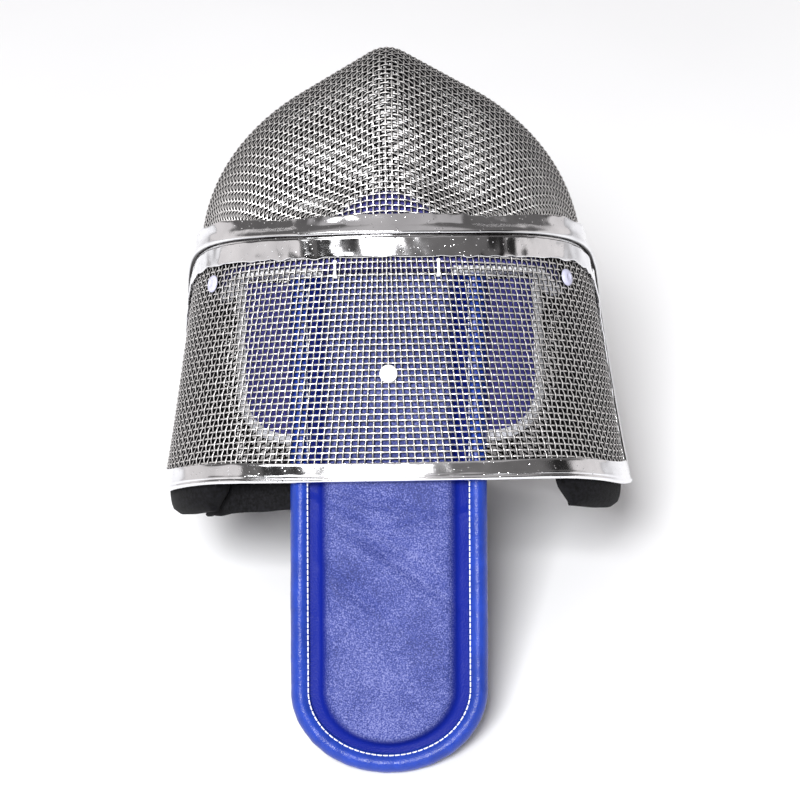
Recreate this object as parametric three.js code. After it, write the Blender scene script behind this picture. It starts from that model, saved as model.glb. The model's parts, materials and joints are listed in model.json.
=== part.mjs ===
import * as THREE from 'three';

// A fencing mask that leans on its chin rim and on the tip of its back tongue.
// Lengths are millimetres. The mask is drawn in its own frame: x across, depth from the back
// of the head to the chin (y is minus depth), height up from the plane of the rim.

// Driving sizes of the cage
const CROWN_HALF_WIDTH = 98;
const FRONT_HALF_WIDTH = 103;
const RIM_HALF_WIDTH = 116;
const FLARE_POWER = 1.15;
const CHIN_DEPTH = 238;
const APEX_HEIGHT = 211;
const SEAM_HEIGHT = 115;
const SEAM_REACH = 125;
const SEAM_POWER = 4;
const BACK_DEPTH_CROWN = 98;
const BACK_DEPTH_RIM = 90;
const BACK_POWER_CROWN = 2;
const BACK_POWER_RIM = 2.5;
const MESH_THICKNESS = 2;
const RIDGE_SLOPE_DEG = 29.5;
const RIDGE_RADIUS = 16;
const CHEEK_FLAT = 40;
const RIDGE_SHARP_AT_SEAM = 0.25;
const RIDGE_SHARP_LENGTH = 45;
const SECTION_EASE = 5;

// The rim dips between these depths, and the dip dies out between these heights
const RIM_DIP = 4.7;
const DIP_STARTS = 8;
const DIP_FULL = 60;
const DIP_FADES = 125;
const DIP_ENDS = 200;
const DIP_LOW = 10;
const DIP_HIGH = 80;

// The ridge from the crown seam over the apex to the chin. depth is a share of CHIN_DEPTH,
// height a share of APEX_HEIGHT, and turn is the lie in degrees of the wires that cross there.
const RIDGE = [
  { name: 'seam', depth: 0, height: SEAM_HEIGHT / APEX_HEIGHT, turn: -52 },
  { name: 'rise', depth: 0.105, height: 0.863, turn: -73 },
  { name: 'apex', depth: 0.231, height: 1, turn: -86 },
  { name: 'brow', depth: 0.42, height: 0.948, turn: -101 },
  { name: 'nose', depth: 0.63, height: 0.782, turn: -120 },
  { name: 'mouth', depth: 0.8, height: 0.597, turn: -132 },
  { name: 'jaw', depth: 0.916, height: 0.34, turn: -134 },
  { name: 'chin', depth: 1, height: 0, turn: -134 },
];

// Metal strips folded over the edges of the mesh
const CLEARANCE = 0.4;
const STRIP_THICKNESS = 1;
const JOIN_FLANGE = 9.5;
const BEAD_HALF_WIDTH = 2.4;
const BEAD_HEIGHT = 2;
const BEAD_TOP_SHARE = 0.6;
const SEAM_GAP = 1;
const REAR_STRIP_HEIGHT = 8.5;
const REAR_STRIP_CORNER_HEIGHT = 10.9;
const FRONT_STRIP_HEIGHT = 7;
const FRONT_STRIP_SPREAD = 0.9;
const STRIP_INNER_HEIGHT = 5;
const STRIP_END_GAP = 1.2;

// Padded back tongue
const TONGUE_HALF_WIDTH = 47;
const TONGUE_DROP = 18;
const TONGUE_TOP = SEAM_HEIGHT - TONGUE_DROP;
const TONGUE_TIP = -139;
const TONGUE_END_LENGTH = 39.5;
const TONGUE_SETBACK = 3;
const TONGUE_THICKNESS = 12.6;
const TONGUE_CROWN = 1.6;
const TONGUE_CROWN_POWER = 4;
const TONGUE_FLATTEN_LENGTH = 70;
const TONGUE_CURVE_KEPT = 0.15;
const PIPING_WIDTH = 9.4;
const PIECE_GAP = 0.35;

// Flap behind the tongue, with its binding
const FLAP_HALF_WIDTH = 71;
const FLAP_DROP = 19.4;
const FLAP_TOP = SEAM_HEIGHT - FLAP_DROP;
const FLAP_BOTTOM = 19;
const FLAP_CORNER = 24;
const FLAP_THICKNESS = 5;
const FLAP_SIDE_SETBACK = 8.5;
const BINDING_WIDTH = 6;
const BINDING_THICKNESS = 6.4;

// Pads of the crown and of the cheeks
const CROWN_PAD_DROP = 16.4;
const CROWN_PAD_RISE = 23;
const CROWN_PAD_SIDE_TOP_DROP = 6;
const CROWN_PAD_BOTTOM = SEAM_HEIGHT - CROWN_PAD_DROP;
const CROWN_PAD_TOP = SEAM_HEIGHT + CROWN_PAD_RISE;
const CROWN_PAD_SIDE_TOP = SEAM_HEIGHT - CROWN_PAD_SIDE_TOP_DROP;
const CROWN_PAD_SIDE_DROP = 12;
const CROWN_PAD_SIDE_FALL = 6;
const CROWN_PAD_FALL_POWER = 4;
const CROWN_PAD_HALF_WIDTH = 88;
const CROWN_PAD_DOME_HALF_WIDTH = 60;
const CROWN_PAD_THICKNESS = 8;
const CROWN_PAD_SETBACK = 3.4;
const CHEEK_PAD_BOTTOM = -12;
const CHEEK_PAD_TOP = 62;
const CHEEK_PAD_THICKNESS = 14;
const CHEEK_PAD_REAR_HALF_WIDTH = 86;
const CHEEK_PAD_TOP_HALF_WIDTH = 106;
const CHEEK_PAD_REACH = 112;

// Elastic strap that leaves the left cheek pad and lies behind the tongue
const STRAP_WIDTH = 24;
const STRAP_THICKNESS = 1.6;
const STRAP_BOTTOM = -13;
const STRAP_OUTER_END = 112;
const STRAP_LEAVES_PAD = 94;
const STRAP_ON_PAD = 0.35;
const STRAP_INNER_END = 14;

// Small hardware
const RIVET_DIAMETER = 8.5;
const RIVET_HEAD = 1.6;
const RIVET_FLAT_SHARE = 0.72;
const RIVET_SIDE_SHARE = 0.45;
const RIVET_BACK_HEIGHT = 50.5;
const RIVET_SIDE_HALF_WIDTH = 85;
const RIVET_SIDE_DROP = 19;
const HOOK_SPACING = 48;
const HOOK_LENGTH = 8.5;
const HOOK_DIAMETER = 1.7;
const HOOK_DROP = 10.5;
const HOOK_TOP = SEAM_HEIGHT - HOOK_DROP;

// Facets
const SEAM_ROWS = 17;
const RIM_ROWS = 12;
const FRONT_COLUMNS = 32;
const BACK_ROWS = 8;
const BACK_COLUMNS = 36;
const REAR_STATIONS = 40;
const TONGUE_COLUMNS = 8;
const TONGUE_STRAIGHT_ROWS = 12;
const TONGUE_END_ROWS = 7;
const TONGUE_LAST_TURN_DEG = 84;
const PIPING_STRAIGHT_STEPS = 12;
const PIPING_END_STEPS = 18;
const PIPING_SIDES = 8;
const FLAP_COLUMNS = 14;
const FLAP_ROWS = 9;
const FLAP_ROW_CROWDING = 1.5;
const BINDING_SIDE_STEPS = 7;
const BINDING_CORNER_STEPS = 6;
const BINDING_BOTTOM_STEPS = 5;
const BINDING_SIDES = 6;
const CROWN_PAD_COLUMNS = 24;
const CROWN_PAD_ROWS = 5;
const CHEEK_COLUMNS = 10;
const CHEEK_ROWS = 4;
const STRAP_STEPS = 16;
const STRAP_ROWS = 2;
const RIVET_SIDES = 16;
const HOOK_SIDES = 8;

// Rows of the front mesh crowd towards the crown of the seam and towards the chin
const SEAM_CROWDING = 2;
const SEAM_LAST_SHORT = 0.4;
const RIM_CROWDING = 1.4;
const RIM_LAST_SHORT = 0.15;

// Fine steps and limits of the searches
const HALVINGS = 40;
const LONGEST_RUN = 320;
const PLACE_STEP = 0.02;
const RUN_STEP = 0.5;
const HEIGHT_STEP = 1;
const SHARE_STEP = 0.004;
const WIDEST_SHARE = 0.999;
const UPRIGHT_LIMIT = 0.9;

const DEG = Math.PI / 180;
const HALF_MESH = MESH_THICKNESS / 2;
const CHEEK_PAD_SETBACK = HALF_MESH + CLEARANCE + STRIP_THICKNESS + PIECE_GAP;
const SLOPE = RIDGE_SLOPE_DEG * DEG;

const mix = (a, b, t) => a + (b - a) * t;
const clamp01 = (t) => Math.min(1, Math.max(0, t));
const smooth = (t) => clamp01(t) ** 2 * (3 - 2 * clamp01(t));
const spot = (x, depth, height) => new THREE.Vector3(x, -depth, height);

// Width of the cage grows from the crown to the rim
function flare(height) {
  const below = clamp01(1 - height / SEAM_HEIGHT) ** FLARE_POWER;
  return mix(1, RIM_HALF_WIDTH / CROWN_HALF_WIDTH, below);
}

function crownShare(height) {
  return clamp01(height / SEAM_HEIGHT);
}

// Height of the seam between back and front mesh at a depth; shift widens the curve
function seamHeight(depth, shift) {
  const share = clamp01(Math.max(0, depth) / (SEAM_REACH + shift));
  return (SEAM_HEIGHT + shift) * Math.sqrt(1 - share ** SEAM_POWER);
}

// Plan section of the back mesh: q runs from 0 at the centre line to 1 at the seam's foot
const BACK_ROUND_SHARE = 0.8;

function backPoint(q, height) {
  const t = crownShare(height);
  const power = mix(BACK_POWER_RIM, BACK_POWER_CROWN, t);
  const reach = mix(BACK_DEPTH_RIM, BACK_DEPTH_CROWN, t);
  const half = CROWN_HALF_WIDTH * flare(height);
  const angle = Math.min(1, Math.abs(q) / BACK_ROUND_SHARE) * Math.PI / 2;
  const x = half * Math.sin(angle) ** (2 / power);
  const rest = Math.max(0, Math.cos(angle)) ** (2 / power);
  const straight = Math.max(0, Math.abs(q) - BACK_ROUND_SHARE) / (1 - BACK_ROUND_SHARE);
  const depth = reach * (1 - rest) + straight * (SEAM_REACH - reach);
  return spot(Math.sign(q) * x, depth, height);
}

// Depth of the back mesh at a distance from the centre line
function backDepth(x, height) {
  const t = crownShare(height);
  const power = mix(BACK_POWER_RIM, BACK_POWER_CROWN, t);
  const reach = mix(BACK_DEPTH_RIM, BACK_DEPTH_CROWN, t);
  const share = Math.min(WIDEST_SHARE, Math.abs(x) / (CROWN_HALF_WIDTH * flare(height)));
  return reach * (1 - (1 - share ** power) ** (1 / power));
}

// Half width of the back mesh at a depth
function backHalfWidth(depth, height) {
  const t = crownShare(height);
  const power = mix(BACK_POWER_RIM, BACK_POWER_CROWN, t);
  const reach = mix(BACK_DEPTH_RIM, BACK_DEPTH_CROWN, t);
  const rest = clamp01(1 - Math.max(0, depth) / reach);
  return CROWN_HALF_WIDTH * flare(height) * (1 - rest ** power) ** (1 / power);
}

function backNormal(q, height) {
  const across = backPoint(q + SHARE_STEP, height).sub(backPoint(q - SHARE_STEP, height));
  const up = backPoint(q, height + HEIGHT_STEP).sub(backPoint(q, height - HEIGHT_STEP));
  return up.cross(across).normalize();
}

// A value of the ridge table at a place t from 0 to the last row, on a smooth curve
function ridgeValue(key, t) {
  const last = RIDGE.length - 1;
  const i = Math.min(last - 1, Math.floor(t));
  const f = t - i;
  const at = (k) => RIDGE[Math.min(last, Math.max(0, k))][key];
  const before = i > 0 ? at(i - 1) : 2 * at(0) - at(1);
  const after = i + 2 <= last ? at(i + 2) : 2 * at(last) - at(last - 1);
  const a = at(i);
  const b = at(i + 1);
  const bend = 2 * before - 5 * a + 4 * b - after;
  const twist = 3 * (a - b) + after - before;
  return a + 0.5 * f * (b - before + f * (bend + f * twist));
}

function ridge(t) {
  return {
    depth: ridgeValue('depth', t) * CHIN_DEPTH,
    height: ridgeValue('height', t) * APEX_HEIGHT,
    turn: ridgeValue('turn', t) * DEG,
  };
}

// Section across the ridge: a rounded corner, a flat cheek, a round shoulder and a straight side.
// run is the length along the section; out is the way across and drop the way down from the ridge.
function archSection(run, sharp) {
  const corner = mix(FRONT_HALF_WIDTH, RIDGE_RADIUS, sharp);
  const flat = mix(0, CHEEK_FLAT, sharp);
  const shoulder = (FRONT_HALF_WIDTH - corner * Math.sin(SLOPE) - flat * Math.cos(SLOPE))
    / (1 - Math.sin(SLOPE));
  const cornerRun = corner * SLOPE;
  const shoulderRun = shoulder * (Math.PI / 2 - SLOPE);
  let out = corner * Math.sin(Math.min(run, cornerRun) / corner);
  let drop = corner * (1 - Math.cos(Math.min(run, cornerRun) / corner));
  const onFlat = Math.min(flat, Math.max(0, run - cornerRun));
  out += onFlat * Math.cos(SLOPE);
  drop += onFlat * Math.sin(SLOPE);
  const onShoulder = Math.min(shoulderRun, Math.max(0, run - cornerRun - flat));
  const turned = SLOPE + onShoulder / shoulder;
  out += shoulder * (Math.sin(turned) - Math.sin(SLOPE));
  drop += shoulder * (Math.cos(SLOPE) - Math.cos(turned));
  drop += Math.max(0, run - cornerRun - flat - shoulderRun);
  return { out, drop };
}

function sharpness(t) {
  const here = ridge(t);
  const rise = Math.hypot(here.depth, here.height - SEAM_HEIGHT);
  return mix(RIDGE_SHARP_AT_SEAM, 1, smooth(rise / RIDGE_SHARP_LENGTH));
}

// A point on the wire that crosses the ridge at t, run along it, before it is fitted to the seam
function rawFront(t, run) {
  const here = ridge(t);
  const { out, drop } = archSection(run, sharpness(t));
  const depth = here.depth + Math.cos(here.turn) * drop;
  const height = here.height + Math.sin(here.turn) * drop;
  return { x: out * flare(height), depth, height };
}

// How far the crossing wire at t runs before it meets the seam or the rim
function rowEnd(t, seamShift, rimHeight) {
  const outside = (run) => {
    const p = rawFront(t, run);
    const front = p.depth >= SEAM_REACH + seamShift || p.height >= seamHeight(p.depth, seamShift);
    return !front || p.height < rimHeight;
  };
  let low = 0;
  let high = LONGEST_RUN;
  for (let i = 0; i < HALVINGS; i++) {
    const middle = (low + high) / 2;
    if (outside(middle)) high = middle;
    else low = middle;
  }
  return low;
}

// The front mesh: the section is eased so that its end lies on the back mesh along the seam
function frontPoint(t, run) {
  const end = rowEnd(t, 0, 0);
  const p = rawFront(t, run);
  const last = rawFront(t, end);
  let ease = 0;
  if (end > 0) {
    const past = (last.depth - SEAM_REACH) / (CHIN_DEPTH - SEAM_REACH);
    const edge = past < 0 ? backHalfWidth(last.depth, last.height)
      : last.x * mix(CROWN_HALF_WIDTH / FRONT_HALF_WIDTH, 1, past);
    ease = (edge - last.x) * Math.min(1, run / end) ** SECTION_EASE;
  }
  return spot(p.x + ease, p.depth, p.height);
}

function frontNormal(t, run) {
  const ahead = frontPoint(Math.min(t + PLACE_STEP / 2, RIDGE.length - 1), run);
  const along = ahead.sub(frontPoint(Math.max(t - PLACE_STEP / 2, 0), run));
  const across = frontPoint(t, run + RUN_STEP).sub(frontPoint(t, Math.max(0, run - RUN_STEP)));
  return across.cross(along).normalize().negate();
}

// The place on the ridge whose crossing wire ends at the seam's foot
function footRow() {
  let low = 0;
  let high = RIDGE.length - 1;
  for (let i = 0; i < HALVINGS; i++) {
    const middle = (low + high) / 2;
    const end = rawFront(middle, rowEnd(middle, 0, 0));
    if (end.height > CLEARANCE) low = middle;
    else high = middle;
  }
  return low;
}

const FOOT_ROW = footRow();

// Places on the ridge whose crossing wires end on the seam, close together near the crown
const SEAM_PLACES = Array.from({ length: SEAM_ROWS }, (_, i) => {
  const share = (i + 1) / (SEAM_ROWS + SEAM_LAST_SHORT);
  return FOOT_ROW * share ** SEAM_CROWDING;
});

// Places whose crossing wires end on the rim, close together near the chin
const RIM_FIRST = rimRowAt(SEAM_REACH + JOIN_FLANGE + STRIP_END_GAP);
const RIM_PLACES = Array.from({ length: RIM_ROWS }, (_, i) => {
  const share = (RIM_ROWS - i + RIM_LAST_SHORT) / (RIM_ROWS + RIM_LAST_SHORT);
  return mix(RIDGE.length - 1, RIM_FIRST, share ** RIM_CROWDING);
});

// The place on the ridge whose crossing wire meets the rim at a depth
function rimRowAt(depth) {
  let low = FOOT_ROW;
  let high = RIDGE.length - 1;
  for (let i = 0; i < HALVINGS; i++) {
    const middle = (low + high) / 2;
    if (rawFront(middle, rowEnd(middle, 0, 0)).depth < depth) low = middle;
    else high = middle;
  }
  return low;
}

const mirrored = (p) => new THREE.Vector3(-p.x, p.y, p.z);

// Solids from grids of points

function solidFromFaces(points, faces) {
  const geometry = new THREE.BufferGeometry();
  const flat = points.flatMap((p) => [p.x, p.y, p.z]);
  geometry.setAttribute('position', new THREE.Float32BufferAttribute(flat, 3));
  let volume = 0;
  for (const [a, b, c] of faces) {
    volume += points[a].dot(new THREE.Vector3().crossVectors(points[b], points[c]));
  }
  const outward = volume > 0 ? faces : faces.map(([a, b, c]) => [a, c, b]);
  geometry.setIndex(outward.flat());
  geometry.computeVertexNormals();
  return geometry;
}

function quad(faces, a, b, c, d) {
  faces.push([a, b, c], [a, c, d]);
}

// A closed slab between two grids of the same size
function slab(outer, inner) {
  const rows = outer.length;
  const columns = outer[0].length;
  const points = [...outer.flat(), ...inner.flat()];
  const top = (i, j) => i * columns + j;
  const under = (i, j) => rows * columns + i * columns + j;
  const faces = [];
  for (let i = 0; i < rows - 1; i++) {
    for (let j = 0; j < columns - 1; j++) {
      quad(faces, top(i, j), top(i, j + 1), top(i + 1, j + 1), top(i + 1, j));
      quad(faces, under(i, j), under(i + 1, j), under(i + 1, j + 1), under(i, j + 1));
    }
  }
  for (let j = 0; j < columns - 1; j++) {
    quad(faces, top(0, j), under(0, j), under(0, j + 1), top(0, j + 1));
    quad(faces, top(rows - 1, j), top(rows - 1, j + 1), under(rows - 1, j + 1), under(rows - 1, j));
  }
  for (let i = 0; i < rows - 1; i++) {
    quad(faces, top(i, 0), top(i + 1, 0), under(i + 1, 0), under(i, 0));
    quad(faces, top(i, columns - 1), under(i, columns - 1), under(i + 1, columns - 1),
      top(i + 1, columns - 1));
  }
  return solidFromFaces(points, faces);
}

// A closed solid swept through sections of the same number of points
function sweep(sections) {
  const count = sections[0].length;
  const points = sections.flat();
  const faces = [];
  for (let i = 0; i < sections.length - 1; i++) {
    for (let j = 0; j < count; j++) {
      const k = (j + 1) % count;
      quad(faces, i * count + j, i * count + k, (i + 1) * count + k, (i + 1) * count + j);
    }
  }
  const last = sections.length - 1;
  for (const [a, b, c] of capOrder(sections[0])) faces.push([a, c, b]);
  for (const [a, b, c] of capOrder(sections[last])) faces.push([a, b, c].map((k) => last * count + k));
  return solidFromFaces(points, faces);
}

// Triangles that fill a flat section of any shape
function capOrder(section) {
  const middle = section.reduce((sum, p) => sum.add(p), new THREE.Vector3())
    .divideScalar(section.length);
  const normal = new THREE.Vector3();
  section.forEach((p, i) => {
    const next = section[(i + 1) % section.length];
    const a = p.clone().sub(middle);
    normal.add(a.cross(next.clone().sub(middle)));
  });
  normal.normalize();
  const helper = Math.abs(normal.z) < UPRIGHT_LIMIT ? new THREE.Vector3(0, 0, 1) : new THREE.Vector3(1, 0, 0);
  const across = helper.clone().cross(normal).normalize();
  const up = normal.clone().cross(across);
  const flat = section.map((p) => new THREE.Vector2(p.clone().sub(middle).dot(across),
    p.clone().sub(middle).dot(up)));
  const area = ([a, b, c]) => THREE.ShapeUtils.area([flat[a], flat[b], flat[c]]);
  return THREE.ShapeUtils.triangulateShape(flat, [])
    .map(([a, b, c]) => (area([a, b, c]) > 0 ? [a, b, c] : [a, c, b]));
}

// Outer and inner faces of a shell, offset from the grid of its middle surface
function shell(grid, half) {
  const rows = grid.length;
  const columns = grid[0].length;
  const offset = (sign) => grid.map((row, i) => row.map((p, j) => {
    const along = grid[Math.min(i + 1, rows - 1)][j].clone().sub(grid[Math.max(i - 1, 0)][j]);
    const across = row[Math.min(j + 1, columns - 1)].clone().sub(row[Math.max(j - 1, 0)]);
    const normal = across.cross(along).normalize();
    return p.clone().addScaledVector(normal, sign * half);
  }));
  return slab(offset(1), offset(-1));
}

// Cage

function frontMesh() {
  const grid = [];
  for (const t of [...SEAM_PLACES, ...RIM_PLACES]) {
    const end = rowEnd(t, SEAM_GAP, STRIP_THICKNESS + CLEARANCE + HALF_MESH);
    const row = [];
    for (let j = -FRONT_COLUMNS / 2; j <= FRONT_COLUMNS / 2; j++) {
      const run = Math.abs(j) / (FRONT_COLUMNS / 2) * end;
      const p = frontPoint(t, run);
      row.push(j < 0 ? mirrored(p) : p);
    }
    grid.push(row);
  }
  return shell(grid, HALF_MESH);
}

const BACK_MESH_FOOT = 0.985;

function backMesh() {
  const grid = [];
  for (let i = 0; i <= BACK_ROWS; i++) {
    const row = [];
    for (let j = 0; j <= BACK_COLUMNS; j++) {
      const q = mix(-BACK_MESH_FOOT, BACK_MESH_FOOT, j / BACK_COLUMNS);
      let top = SEAM_HEIGHT;
      for (let k = 0; k < HALVINGS; k++) {
        top = (top + seamHeight(-backPoint(q, top).y, -SEAM_GAP)) / 2;
      }
      const height = mix(STRIP_THICKNESS + CLEARANCE, top, i / BACK_ROWS);
      row.push(backPoint(q, height));
    }
    grid.push(row);
  }
  return shell(grid, HALF_MESH);
}

// A station of the seam: its point, its outward normals on both meshes and the ways into them
function seamStation(t, side) {
  const end = rowEnd(t, 0, 0);
  const here = frontPoint(t, end);
  const beforeT = Math.max(0, t - PLACE_STEP);
  const before = frontPoint(beforeT, rowEnd(beforeT, 0, 0));
  const afterT = t + PLACE_STEP;
  const after = frontPoint(afterT, rowEnd(afterT, 0, 0));
  const tangent = t < PLACE_STEP ? new THREE.Vector3(1, 0, 0) : after.sub(before).normalize();
  const frontOut = frontNormal(Math.max(t, PLACE_STEP), end);
  const q = backShareAt(here);
  const backOut = backNormal(q, here.z);
  const intoFront = tangent.clone().cross(frontOut).normalize();
  const intoBack = backOut.clone().cross(tangent).normalize();
  const station = { here, frontOut, backOut, intoFront, intoBack };
  const frontRise = flangeRise(FRONT_SAMPLES, here, tangent, intoFront, frontOut);
  const backRise = flangeRise(BACK_SAMPLES, here, tangent, intoBack, backOut);
  if (side < 0) Object.keys(station).forEach((key) => { station[key] = mirrored(station[key]); });
  return { ...station, frontRise, backRise };
}

// Points of both meshes near the seam, which the band's flanges follow
const SAMPLE_LAST_PLACE = 6.2;
const SAMPLE_PLACE_STEP = 0.06;
const SAMPLE_RUN_STEP = 2;
const SAMPLE_SHARE_STEP = 0.012;
const SAMPLE_HEIGHT_STEP = 3;
const SAMPLE_REACH = 2.5;
const LEAST_FLANGE_RISE = -1.5;

function frontSamples() {
  const points = [];
  for (let t = SAMPLE_PLACE_STEP / 2; t < SAMPLE_LAST_PLACE; t += SAMPLE_PLACE_STEP) {
    const end = rowEnd(t, 0, 0);
    for (let run = 0; run < end; run += SAMPLE_RUN_STEP) points.push(frontPoint(t, run));
  }
  return points;
}

function backSamples() {
  const points = [];
  for (let q = 0; q <= 1; q += SAMPLE_SHARE_STEP) {
    for (let height = 0; height <= SEAM_HEIGHT; height += SAMPLE_HEIGHT_STEP) {
      points.push(backPoint(q, height));
    }
  }
  return points;
}

const FRONT_SAMPLES = frontSamples();
const BACK_SAMPLES = backSamples();

// How far a mesh rises over the flat flange of the band at the flange's edge
function flangeRise(samples, here, tangent, into, out) {
  let rise = LEAST_FLANGE_RISE;
  for (const p of samples) {
    const away = p.clone().sub(here);
    const along = away.dot(into);
    if (along < SAMPLE_REACH || along > JOIN_FLANGE + CLEARANCE) continue;
    if (Math.abs(away.dot(tangent)) > SAMPLE_REACH) continue;
    rise = Math.max(rise, CLEARANCE / 2 + away.dot(out) * JOIN_FLANGE / along);
  }
  return rise;
}

// The share q of the back section at a point of it
function backShareAt(p) {
  let low = 0;
  let high = 1;
  for (let i = 0; i < HALVINGS; i++) {
    const middle = (low + high) / 2;
    if (-backPoint(middle, p.z).y < -p.y) low = middle;
    else high = middle;
  }
  return low;
}

function seamTable() {
  const stations = [];
  const places = [...SEAM_PLACES, FOOT_ROW - PLACE_STEP / 2];
  for (const t of [...places].reverse()) stations.push(seamStation(t, -1));
  stations.push(seamStation(0, 1));
  for (const t of places) stations.push(seamStation(t, 1));
  return stations;
}

function joinBand() {
  const under = HALF_MESH + CLEARANCE;
  const over = under + STRIP_THICKNESS;
  const beadTop = BEAD_HALF_WIDTH * BEAD_TOP_SHARE;
  const sections = seamTable().map((station) => {
    const { here, frontOut, backOut, intoFront, intoBack, frontRise, backRise } = station;
    const out = frontOut.clone().add(backOut).normalize();
    const place = (into, along, normal, lift) => here.clone()
      .addScaledVector(into, along).addScaledVector(normal, lift);
    const bead = (into, along, lift) => here.clone()
      .addScaledVector(into, along).addScaledVector(out, lift);
    return [
      place(intoBack, JOIN_FLANGE, backOut, under + backRise),
      here.clone().addScaledVector(out, under + CLEARANCE),
      place(intoFront, JOIN_FLANGE, frontOut, under + frontRise),
      place(intoFront, JOIN_FLANGE, frontOut, over + frontRise),
      place(intoFront, BEAD_HALF_WIDTH, frontOut, over + CLEARANCE),
      bead(intoFront, beadTop, over + BEAD_HEIGHT),
      bead(intoBack, beadTop, over + BEAD_HEIGHT),
      place(intoBack, BEAD_HALF_WIDTH, backOut, over + CLEARANCE),
      place(intoBack, JOIN_FLANGE, backOut, over + backRise),
    ];
  });
  return sweep(sections);
}

// The share q of the rim's section at a depth on its straight side
function shareAtReach(depth) {
  const straight = (depth - BACK_DEPTH_RIM) / (SEAM_REACH - BACK_DEPTH_RIM);
  return BACK_ROUND_SHARE + (1 - BACK_ROUND_SHARE) * straight;
}

// Section of a strip folded round an edge of the mesh that lies at height 0
function foldedSection(base, up, out, outerHeight, spread) {
  const under = HALF_MESH + CLEARANCE;
  const over = under + STRIP_THICKNESS;
  const place = (along, lift) => base.clone().addScaledVector(up, along).addScaledVector(out, lift);
  return [
    place(outerHeight, over + spread),
    place(STRIP_THICKNESS, over + CLEARANCE),
    place(0, over),
    place(0, -over),
    place(STRIP_INNER_HEIGHT, -over - spread),
    place(STRIP_INNER_HEIGHT, -under - spread),
    place(STRIP_THICKNESS, -under),
    place(STRIP_THICKNESS, under),
    place(outerHeight, under + spread),
  ];
}

function rearBand() {
  const sections = [];
  const foot = shareAtReach(SEAM_REACH - JOIN_FLANGE - STRIP_END_GAP);
  for (let j = 0; j <= REAR_STATIONS; j++) {
    const q = mix(-foot, foot, j / REAR_STATIONS);
    const base = backPoint(q, 0);
    const out = backNormal(q, HEIGHT_STEP).setZ(0).normalize();
    const up = backPoint(q, REAR_STRIP_HEIGHT).sub(base).normalize();
    const corner = smooth(Math.abs(q) / BACK_ROUND_SHARE);
    const height = mix(REAR_STRIP_HEIGHT, REAR_STRIP_CORNER_HEIGHT, corner);
    sections.push(foldedSection(base, up, out, height, 0));
  }
  return sweep(sections);
}

function frontRim() {
  const sectionAt = (t, end) => {
    const base = frontPoint(t, end).setZ(0);
    const out = frontNormal(t, end).negate();
    if (end === 0) out.setX(0).normalize();
    const up = out.clone().multiplyScalar(-out.z).add(new THREE.Vector3(0, 0, 1)).normalize();
    const level = out.setZ(0).normalize();
    return foldedSection(base, up, level, FRONT_STRIP_HEIGHT, FRONT_STRIP_SPREAD);
  };
  const side = RIM_PLACES.map((t) => sectionAt(t, rowEnd(t, 0, 0)));
  const chin = sectionAt(RIDGE.length - 1, 0);
  return sweep([...side.map((section) => section.map(mirrored)), chin, ...side.reverse()]);
}

// Tongue

function tongueDepth(x, height) {
  const curved = clamp01(1 + Math.min(0, height) / TONGUE_FLATTEN_LENGTH);
  const kept = Math.max(TONGUE_CURVE_KEPT, curved);
  return TONGUE_SETBACK + backDepth(x, Math.max(0, height)) * kept;
}

// Heights of the tongue's rows and its half width there, from the top to the tip
function tongueOutline(half, endLength, tip) {
  const rows = [];
  const endStart = tip + endLength;
  for (let i = 0; i < TONGUE_STRAIGHT_ROWS; i++) {
    rows.push({ height: mix(TONGUE_TOP, endStart, i / TONGUE_STRAIGHT_ROWS), half });
  }
  for (let i = 0; i <= TONGUE_END_ROWS; i++) {
    const angle = i / TONGUE_END_ROWS * TONGUE_LAST_TURN_DEG * DEG;
    rows.push({ height: endStart - endLength * Math.sin(angle), half: half * Math.cos(angle) });
  }
  return rows;
}

function tonguePanel() {
  const inset = PIPING_WIDTH + PIECE_GAP;
  const panelHalf = TONGUE_HALF_WIDTH - inset;
  const rows = tongueOutline(panelHalf, TONGUE_END_LENGTH - inset, TONGUE_TIP + inset);
  const outer = [];
  const inner = [];
  for (const { height, half } of rows) {
    const outerRow = [];
    const innerRow = [];
    for (let j = 0; j <= TONGUE_COLUMNS; j++) {
      const across = mix(-1, 1, j / TONGUE_COLUMNS);
      const x = across * half;
      const depth = tongueDepth(x, height);
      const crown = TONGUE_CROWN * across ** TONGUE_CROWN_POWER;
      outerRow.push(spot(x, depth + crown, height));
      innerRow.push(spot(x, depth + TONGUE_THICKNESS - crown, height));
    }
    outer.push(outerRow);
    inner.push(innerRow);
  }
  return slab(outer, inner);
}

// Round or oval bar along a path in the plane of x and height that follows a depth function
function ovalBar(path, depthAt, width, thickness, sides) {
  const sections = path.map((p, i) => {
    const before = path[Math.max(0, i - 1)];
    const after = path[Math.min(path.length - 1, i + 1)];
    const way = new THREE.Vector2(after.x - before.x, after.y - before.y).normalize();
    const section = [];
    for (let k = 0; k < sides; k++) {
      const angle = (k + 0.5) / sides * 2 * Math.PI;
      const side = Math.cos(angle) * width / 2;
      const x = p.x - way.y * side;
      const height = p.y + way.x * side;
      section.push(spot(x, depthAt(x, height) + Math.sin(angle) * thickness / 2, height));
    }
    return section;
  });
  return sweep(sections);
}

// Edge path of a tab: down one side, round its end and up the other
function tabPath(half, top, tip, endLength, sideSteps, endSteps) {
  const path = [];
  const endStart = tip + endLength;
  const down = (i) => mix(top, endStart, i / sideSteps);
  for (let i = 0; i < sideSteps; i++) path.push(new THREE.Vector2(-half, down(i)));
  for (let i = 0; i <= endSteps; i++) {
    const angle = i / endSteps * Math.PI;
    path.push(new THREE.Vector2(-half * Math.cos(angle), endStart - endLength * Math.sin(angle)));
  }
  for (let i = sideSteps - 1; i >= 0; i--) path.push(new THREE.Vector2(half, down(i)));
  return path;
}

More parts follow.
